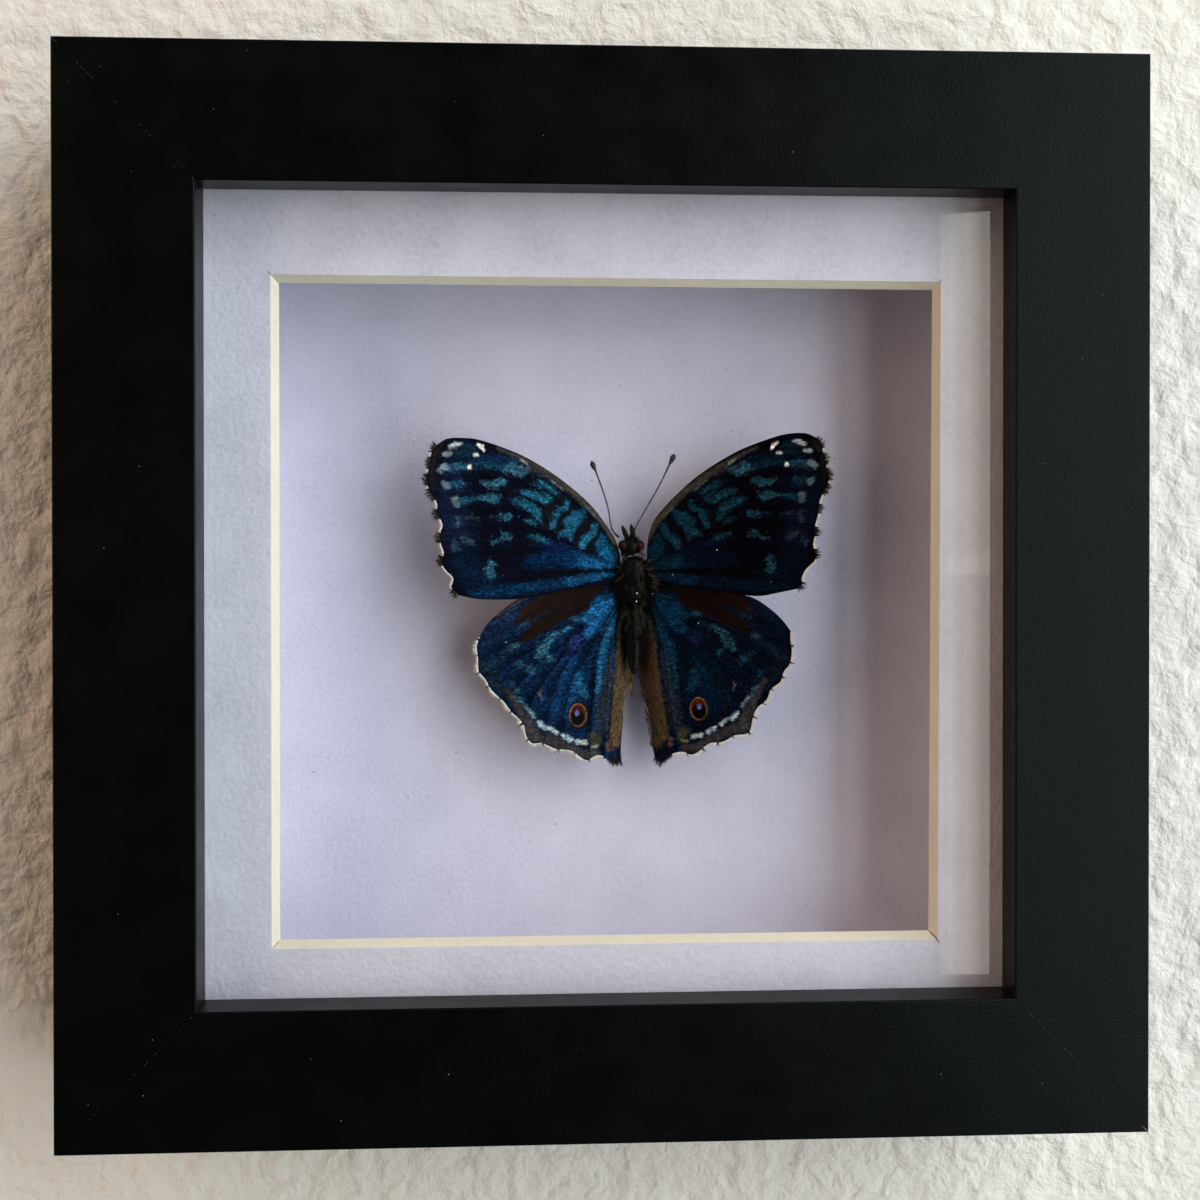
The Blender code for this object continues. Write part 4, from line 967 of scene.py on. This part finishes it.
# Hairs are drawn wider than life so that they show. Tufts are at these heights on both forewings, and the
# hindwings' inner corners are brown below tail_height.
dice = np.random.default_rng(21)
hair_spacing, brown_width, white_width, full_turn = 0.045 * mm, 0.12 * mm, 0.09 * mm, 6.3
tuft_heights = [20.5, 18.0, 15.6, 13.3, 10.5, 7.0, 3.6, -1.3]
tail_height, tail_length = -25.4, 3 * mm
edge_reach, root_depth = 0.6 * mm, 0.1 * mm
white_fringe, brown_fringe = bmesh.new(), bmesh.new()
for name, wing in wings.items():
    fore = name.startswith("forewing")
    edge, heights = wing["edge"], wing["edge_height"]
    middle = edge.mean(0) - np.array([wing["side"] * 14 * mm, 0, 0])
    runs = np.concatenate([[0], np.cumsum(np.linalg.norm(np.diff(edge, axis=0), axis=1))])
    for place in np.arange(0, runs[-1], hair_spacing):
        root, ahead, back = (np.array([np.interp(spot, runs, edge[:, axis]) for axis in range(3)])
                             for spot in (place, place + edge_reach, place - edge_reach))
        along = (ahead - back) / np.linalg.norm(ahead - back)
        outward = np.array([along[2], 0, -along[0]])
        outward *= np.sign(np.dot(outward, root - middle)) or 1
        lean = outward + along * dice.normal(0, 0.3) + np.array([0, dice.normal(0.05, 0.15), 0])
        height = np.interp(place, runs, heights)
        if fore:
            near = min(abs(height - tuft) for tuft in tuft_heights)
            brown = near < 0.75 or (height > 13.5 and near < 0.95)
            if brown:
                length = (1.1 - 0.6 * min(near, 1)) * dice.uniform(0.6, 1.15)
            else:
                length = dice.uniform(0.25, 0.55)
        else:
            brown = (height < tail_height and place < tail_length) or math.sin(place / (0.4 * mm)) > 0.94
            length = dice.uniform(0.3, 0.95) * (0.85 + 0.3 * math.sin(place / (0.55 * mm)))
        plant(brown_fringe if brown else white_fringe, root - outward * root_depth, lean, length * mm,
              brown_width if brown else white_width, dice.uniform(0, full_turn))

white_scales = hair_scales("white_fringe_scales", "f2efea", "d8d0c8")
brown_scales = hair_scales("brown_fringe_scales", "130e0c", "3a2c22")
for name, bm, finish in (("fringe_white", white_fringe, white_scales),
                         ("fringe_brown", brown_fringe, brown_scales)):
    fringe = add_piece(name, bm, finish)
    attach(fringe, "root")


# ---- Hair on the folds -----------------------------------------------------------------------------------
# The hindwings' inner edges fold back beside the abdomen and carry tan hair, combed down and outwards. The
# left fold is torn at the end of the abdomen, where its hair hangs on in a wisp. The right fold's hair is
# painted darker than the left's, as the shade it lies in.
fold_line = [(-24, 2.9, 0.7), (-18, 2.3, 0.85), (-13, 1.5, 1.15), (-9, 1.35, 1.0), (-5, 1.5, 0.55)]
fold_heights, fold_reaches, fold_halves = np.array(fold_line).T
fold_count, wisp_count, above_wing = 900, 60, 0.05
# Each side's hair colour and tip colour. The right's are darker, which is painted shade.
for side, code, tip_code in (("left", "42301e", "90745a"), ("right", "2a1c10", "6a523a")):
    wing = wings["hindwing_" + side]
    fold_hair = bmesh.new()
    height = dice.uniform(-23.6, -5, fold_count)
    outer_share = 1.35 if side == "right" else 1.0
    across = (np.interp(height, fold_heights, fold_reaches)
              + dice.uniform(-1, outer_share, fold_count) * np.interp(height, fold_heights, fold_halves))
    for root in sighted(wing["side"] * across, height, wing_depth(wing, across, height) + above_wing):
        lean = np.array([wing["side"] * 0.5, -0.12, -0.85]) + dice.normal(0, 0.1, 3)
        plant(fold_hair, root, lean, dice.uniform(0.7, 1.3) * mm, white_width, dice.uniform(0, full_turn))
    if side == "left":
        across, height = dice.uniform(0.35, 0.95, wisp_count), dice.uniform(-15.1, -14.3, wisp_count)
        tip_across, tip_height = np.array([0.3]), np.array([-16.8])
        wisp_tip = sighted(-tip_across, tip_height, wing_depth(wing, tip_across, tip_height))[0]
        for root in sighted(-across, height, wing_depth(wing, across, height) + above_wing):
            lean = wisp_tip - root + dice.normal(0, 0.06, 3) * mm
            plant(fold_hair, root, lean, np.linalg.norm(lean) * dice.uniform(0.6, 1), white_width,
                  dice.uniform(0, full_turn))
    fold = add_piece("fold_hair_" + side, fold_hair, hair_scales("tan_fold_hair_" + side, code, tip_code))
    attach(fold, "root")


# ---- Pale specks -----------------------------------------------------------------------------------------
# A few pale specks lie on the thorax and the wings. Each row is a speck's reach, height and depth in front of
# the heart, and its radius, in mm.
pale_speck_mesh = bmesh.new()
for across, height, depth, size in ((0.4, -1.2, 3.1, 0.13), (0.3, -2.4, 2.9, 0.12), (2.7, -1.3, 0.6, 0.1),
                                    (12.3, 5.2, 1.75, 0.09), (5.7, 1.5, 0.95, 0.08), (-19.0, -8.4, 0.95, 0.1),
                                    (-22.3, 2.4, 2.9, 0.08), (9.5, -5.7, 0.3, 0.08), (20.4, 0.4, 2.7, 0.06)):
    place = Vector(sighted(np.array([across]), np.array([height]), np.array([depth]))[0])
    flattened = Matrix.Diagonal((1, 0.4, 1, 1))
    bmesh.ops.create_icosphere(pale_speck_mesh, subdivisions=1, radius=size * mm,
                               matrix=Matrix.Translation(place) @ flattened)
pale_specks = add_piece("pale_specks", pale_speck_mesh, hair_scales("pale_white_specks", "c9cdd0", "eceeee"))
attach(pale_specks, "root")


# ---- Body ------------------------------------------------------------------------------------------------
# Head, thorax and abdomen of chitin, dried black, under a coat of hair: long and grey green on the thorax
# and short on the abdomen, which has shrunk and sits deeper between the folds of the hindwings.
def dried_chitin(name, code):
    """Chitin: near black and a little glossy, with pits of about 0.15 mm."""
    finish, tree, shader = new_finish(name, Roughness=0.42, Specular_IOR_Level=0.12)
    place = add_node(tree, "ShaderNodeTexCoord").outputs["Object"]
    pits = add_node(tree, "ShaderNodeTexNoise", {"Vector": place, "Scale": 1 / (0.3 * mm), "Detail": 3.0})
    shade = add_node(tree, "ShaderNodeMix", {0: pits.outputs["Fac"], 6: tone(code, 0.5), 7: tone(code)},
                     data_type="RGBA")
    bump = add_node(tree, "ShaderNodeBump", {"Height": pits.outputs["Fac"], "Distance": 0.08 * mm})
    tree.links.new(shade.outputs[2], shader.inputs["Base Color"])
    tree.links.new(bump.outputs["Normal"], shader.inputs["Normal"])
    return finish


def turned_body(name, profile, centre, flat, finish, node):
    """Spins a profile of radius and height, in mm, about an upright axis through centre, also in mm from the
    heart, and squashes it to flat times its width from front to back."""
    bm = bmesh.new()
    line = [bm.verts.new((radius * mm, 0, height * mm)) for radius, height in soft_route(profile, 40)]
    edges = [bm.edges.new(pair) for pair in zip(line, line[1:])]
    bmesh.ops.spin(bm, geom=line + edges, cent=(0, 0, 0), axis=(0, 0, 1), angle=2 * math.pi, steps=40,
                   use_merge=True)
    bmesh.ops.remove_doubles(bm, verts=bm.verts, dist=0.002 * mm)
    bmesh.ops.recalc_face_normals(bm, faces=bm.faces)
    bmesh.ops.transform(bm, verts=bm.verts, matrix=Matrix.Translation(heart + Vector(centre) * mm)
                        @ Matrix.Diagonal((1, flat, 1, 1)))
    body = add_piece(name, bm, finish)
    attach(body, "root")
    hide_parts(node)


chitin = dried_chitin("dried_black_chitin", "0a0907")
turned_body("thorax_body", [(0, 4.3), (1.1, 4.0), (1.75, 3.0), (2.05, 1.0), (2.05, -0.8), (1.6, -2.2),
                            (0, -2.7)], (0, 0, 0), 1.0, chitin, "thorax")
turned_body("abdomen_body", [(0, -2.9), (1.2, -3.3), (1.45, -4.0), (1.38, -4.8), (1.5, -5.6), (1.4, -6.3),
                             (1.48, -7.0), (1.33, -7.8), (1.38, -8.5), (1.15, -9.4), (1.15, -10.1),
                             (0.85, -11.1), (0.85, -11.7), (0.5, -12.8), (0, -13.4)],
            (0, 0.7, 0), 1.0, chitin, "abdomen")
turned_body("head_body", [(0, 7.1), (0.9, 6.9), (1.45, 6.2), (1.5, 5.6), (1.2, 4.9), (0, 4.4)],
            (-0.5, -0.1, 0), 0.9, chitin, "head")

# The compound eyes bulge from the sides of the head, dark red brown.
eye_finish = dried_chitin("dried_compound_eye", "260806")
eye_shape = Matrix.Diagonal((0.72 * mm, 0.8 * mm, 0.8 * mm, 1))
bm = bmesh.new()
for across in (-1.75, 0.72):
    place = Matrix.Translation(heart + Vector((across, -0.75, 5.85)) * mm)
    bmesh.ops.create_uvsphere(bm, u_segments=28, v_segments=20, radius=1, matrix=place @ eye_shape)
eyes = add_piece("eyes", bm, eye_finish)
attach(eyes, "root")


tuft_hairs = 8


def fur(name, coats, finish):
    """Hair planted in tufts over ellipsoids of the body. A coat gives its centre and radii in mm from the
    heart, how many hairs, their length, their width and the way they are combed."""
    bm = bmesh.new()
    for centre, radii, count, length, width, comb in coats:
        for i in range(count):
            if i % tuft_hairs == 0:
                tuft = Vector(dice.normal(0, 1, 3)).normalized()
                tuft.y = -abs(tuft.y) if tuft.y > 0.35 else tuft.y
                swept = tuft * 0.55 + Vector(comb) + Vector(dice.normal(0, 0.3, 3))
            normal = (tuft + Vector(dice.normal(0, 0.1, 3))).normalized()
            root = Vector([centre[k] + radii[k] * normal[k] for k in range(3)])
            lean = swept - (normal - tuft) * 0.8
            plant(bm, heart + root * mm, lean, length * dice.uniform(0.6, 1.2) * mm, width * mm,
                  dice.uniform(0, full_turn))
    coat = add_piece(name, bm, finish)
    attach(coat, "root")


fur("fur_dark", [((0, 0, 0.6), (1.9, 1.7, 3.4), 1500, 1.3, 0.09, (0, -0.1, -0.6)),
                 ((1.3, -0.2, 0.6), (1.1, 1.0, 3.0), 420, 1.3, 0.08, (0.5, -0.1, -0.3)),
                 ((-1.3, -0.2, 0.6), (1.1, 1.0, 3.0), 420, 1.3, 0.08, (-0.5, -0.1, -0.3)),
                 ((-0.3, 0, 4.3), (1.4, 1.2, 1.1), 420, 1.0, 0.08, (0, -0.2, 0.1)),
                 ((0, 0.7, -6.5), (1.3, 1.4, 4.8), 700, 0.8, 0.08, (0, -0.1, -0.9)),
                 ((-0.5, -0.1, 5.7), (1.2, 1.2, 1.3), 420, 0.8, 0.07, (0, -0.3, 0.5))],
    hair_scales("black_body_hair", "040403", "0a0a08"))
fur("fur_grey_green", [((0, 0, 0.0), (2.05, 2.0, 3.2), 64, 1.5, 0.06, (0, -0.1, -0.8)),
                       ((0, 0.5, -4.2), (1.6, 1.5, 2.4), 260, 1.3, 0.07, (0, -0.1, -0.9)),
                       ((-0.4, 0, 4.4), (1.6, 1.4, 1.0), 40, 0.8, 0.06, (0, -0.4, 0.2))],
    hair_scales("grey_green_body_hair", "131610", "3f453b"))
fur("fur_tan", [((1.6, -0.2, 1.4), (1.0, 1.2, 2.2), 90, 1.5, 0.06, (0.9, -0.1, -0.1)),
                ((-1.6, -0.2, 0.6), (0.8, 1.0, 2.2), 40, 1.3, 0.06, (-0.9, -0.1, -0.2))],
    hair_scales("tan_body_hair", "2a1c10", "6a5340"))


# ---- Palps and antennae ----------------------------------------------------------------------------------
# Two short hairy palps stand in front of the head. The antennae are fine horn threads, ringed dark and
# pale, and end in black clubs.
thread_sides, thread_steps, finest = 10, 60, 0.004


def threaded(name, route, depth, finish, node, stout=1.0):
    """A tapered thread along route: rows of across, height and radius in mm, at depth mm behind the heart.
    Its ring is carried on from step to step and grows or shrinks on the way."""
    route = np.array(route, float)
    line = soft_route(route[:, :2], thread_steps)
    run = np.linspace(0, 1, thread_steps)
    knots = np.concatenate([[0], np.cumsum(np.hypot(*np.diff(route[:, :2], axis=0).T))])
    radii = np.interp(run, knots / knots[-1], route[:, 2]) * stout
    places = sighted(line[:, 0], line[:, 1], np.full(thread_steps, -depth))
    bm = bmesh.new()
    ring = None
    for i, place in enumerate(places):
        ahead = Vector(places[min(i + 1, thread_steps - 1)] - places[max(i - 1, 0)])
        turn = ahead.to_track_quat("Z", "Y").to_matrix().to_4x4()
        matrix = Matrix.Translation(place) @ turn
        if ring is None:
            ring = bmesh.ops.create_circle(bm, cap_ends=True, segments=thread_sides, radius=radii[0] * mm,
                                           matrix=matrix)["verts"]
            edges = list({edge for vert in ring for edge in vert.link_edges})
            last_radius, last_matrix = radii[0], matrix
            continue
        made = bmesh.ops.extrude_edge_only(bm, edges=edges)["geom"]
        ring = [g for g in made if isinstance(g, bmesh.types.BMVert)]
        edges = [g for g in made
                 if isinstance(g, bmesh.types.BMEdge) and all(vert in ring for vert in g.verts)]
        grow = max(radii[i], finest) / last_radius
        step = matrix @ Matrix.Diagonal((grow, grow, 1, 1)) @ last_matrix.inverted()
        bmesh.ops.transform(bm, matrix=step, verts=ring)
        last_radius, last_matrix = max(radii[i], finest), matrix
    bmesh.ops.holes_fill(bm, edges=edges)
    bmesh.ops.recalc_face_normals(bm, faces=bm.faces)
    thread = add_piece(name, bm, finish)
    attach(thread, "root")
    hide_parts(node)
    return thread


def ringed_horn():
    """Antenna horn: dark, with pale scale rings every 0.5 mm or so along the shaft and none on the club."""
    finish, tree, shader = new_finish("ringed_antenna_horn", Roughness=0.5)
    place = add_node(tree, "ShaderNodeTexCoord").outputs["Object"]
    rings = add_node(tree, "ShaderNodeTexWave", {"Vector": place, "Scale": 1 / (3.1 * mm), "Distortion": 0.5},
                     bands_direction="Z")
    height = add_node(tree, "ShaderNodeSeparateXYZ", {0: place}).outputs["Z"]
    club_foot, shaft_head = heart.z + 16.6 * mm, heart.z + 16.2 * mm
    below_club = add_node(tree, "ShaderNodeMapRange", {"Value": height, "From Min": club_foot,
                                                       "From Max": shaft_head})
    pale = add_node(tree, "ShaderNodeMath", {0: rings.outputs["Fac"], 1: below_club.outputs["Result"]},
                    operation="MULTIPLY")
    shade = add_node(tree, "ShaderNodeMix", {0: pale.outputs[0], 6: tone("0b0a0b"), 7: tone("5a5560")},
                     data_type="RGBA")
    tree.links.new(shade.outputs[2], shader.inputs["Base Color"])
    return finish


horn = ringed_horn()
antennae = {
    "antenna_left": [(-2.3, 7.1, 0.12), (-3.1, 7.9, 0.1), (-3.5, 9, 0.09), (-3.85, 11.2, 0.09),
                     (-4.6, 13.8, 0.09), (-5.7, 16.8, 0.1), (-5.9, 17.2, 0.2), (-6.1, 17.7, 0.33),
                     (-6.25, 18.1, 0.3), (-6.3, 18.4, 0.02)],
    "antenna_right": [(-0.3, 7.4, 0.12), (0.3, 8.7, 0.1), (1.8, 11.4, 0.09), (3.2, 13.8, 0.09),
                      (4.4, 16.1, 0.09), (5.2, 17.8, 0.11), (5.4, 18.2, 0.2), (5.65, 18.7, 0.33),
                      (5.85, 19.1, 0.32), (5.95, 19.45, 0.02)],
}
for node, route in antennae.items():
    antenna = threaded(node + "_thread", route, 0.6, horn, node, stout=1.3)

palp_finish = hair_scales("dark_palp_hair", "0a0807", "1c1611")
palps = {
    "palp_left": [(-1.0, 6.7, 0.3), (-1.3, 7.5, 0.42), (-1.6, 8.3, 0.34), (-1.85, 8.9, 0.05)],
    "palp_right": [(-0.1, 6.8, 0.3), (-0.2, 7.6, 0.42), (-0.35, 8.4, 0.34), (-0.5, 9.1, 0.05)],
}
for node, route in palps.items():
    palp = threaded(node + "_shaft", route, -0.4, palp_finish, node)
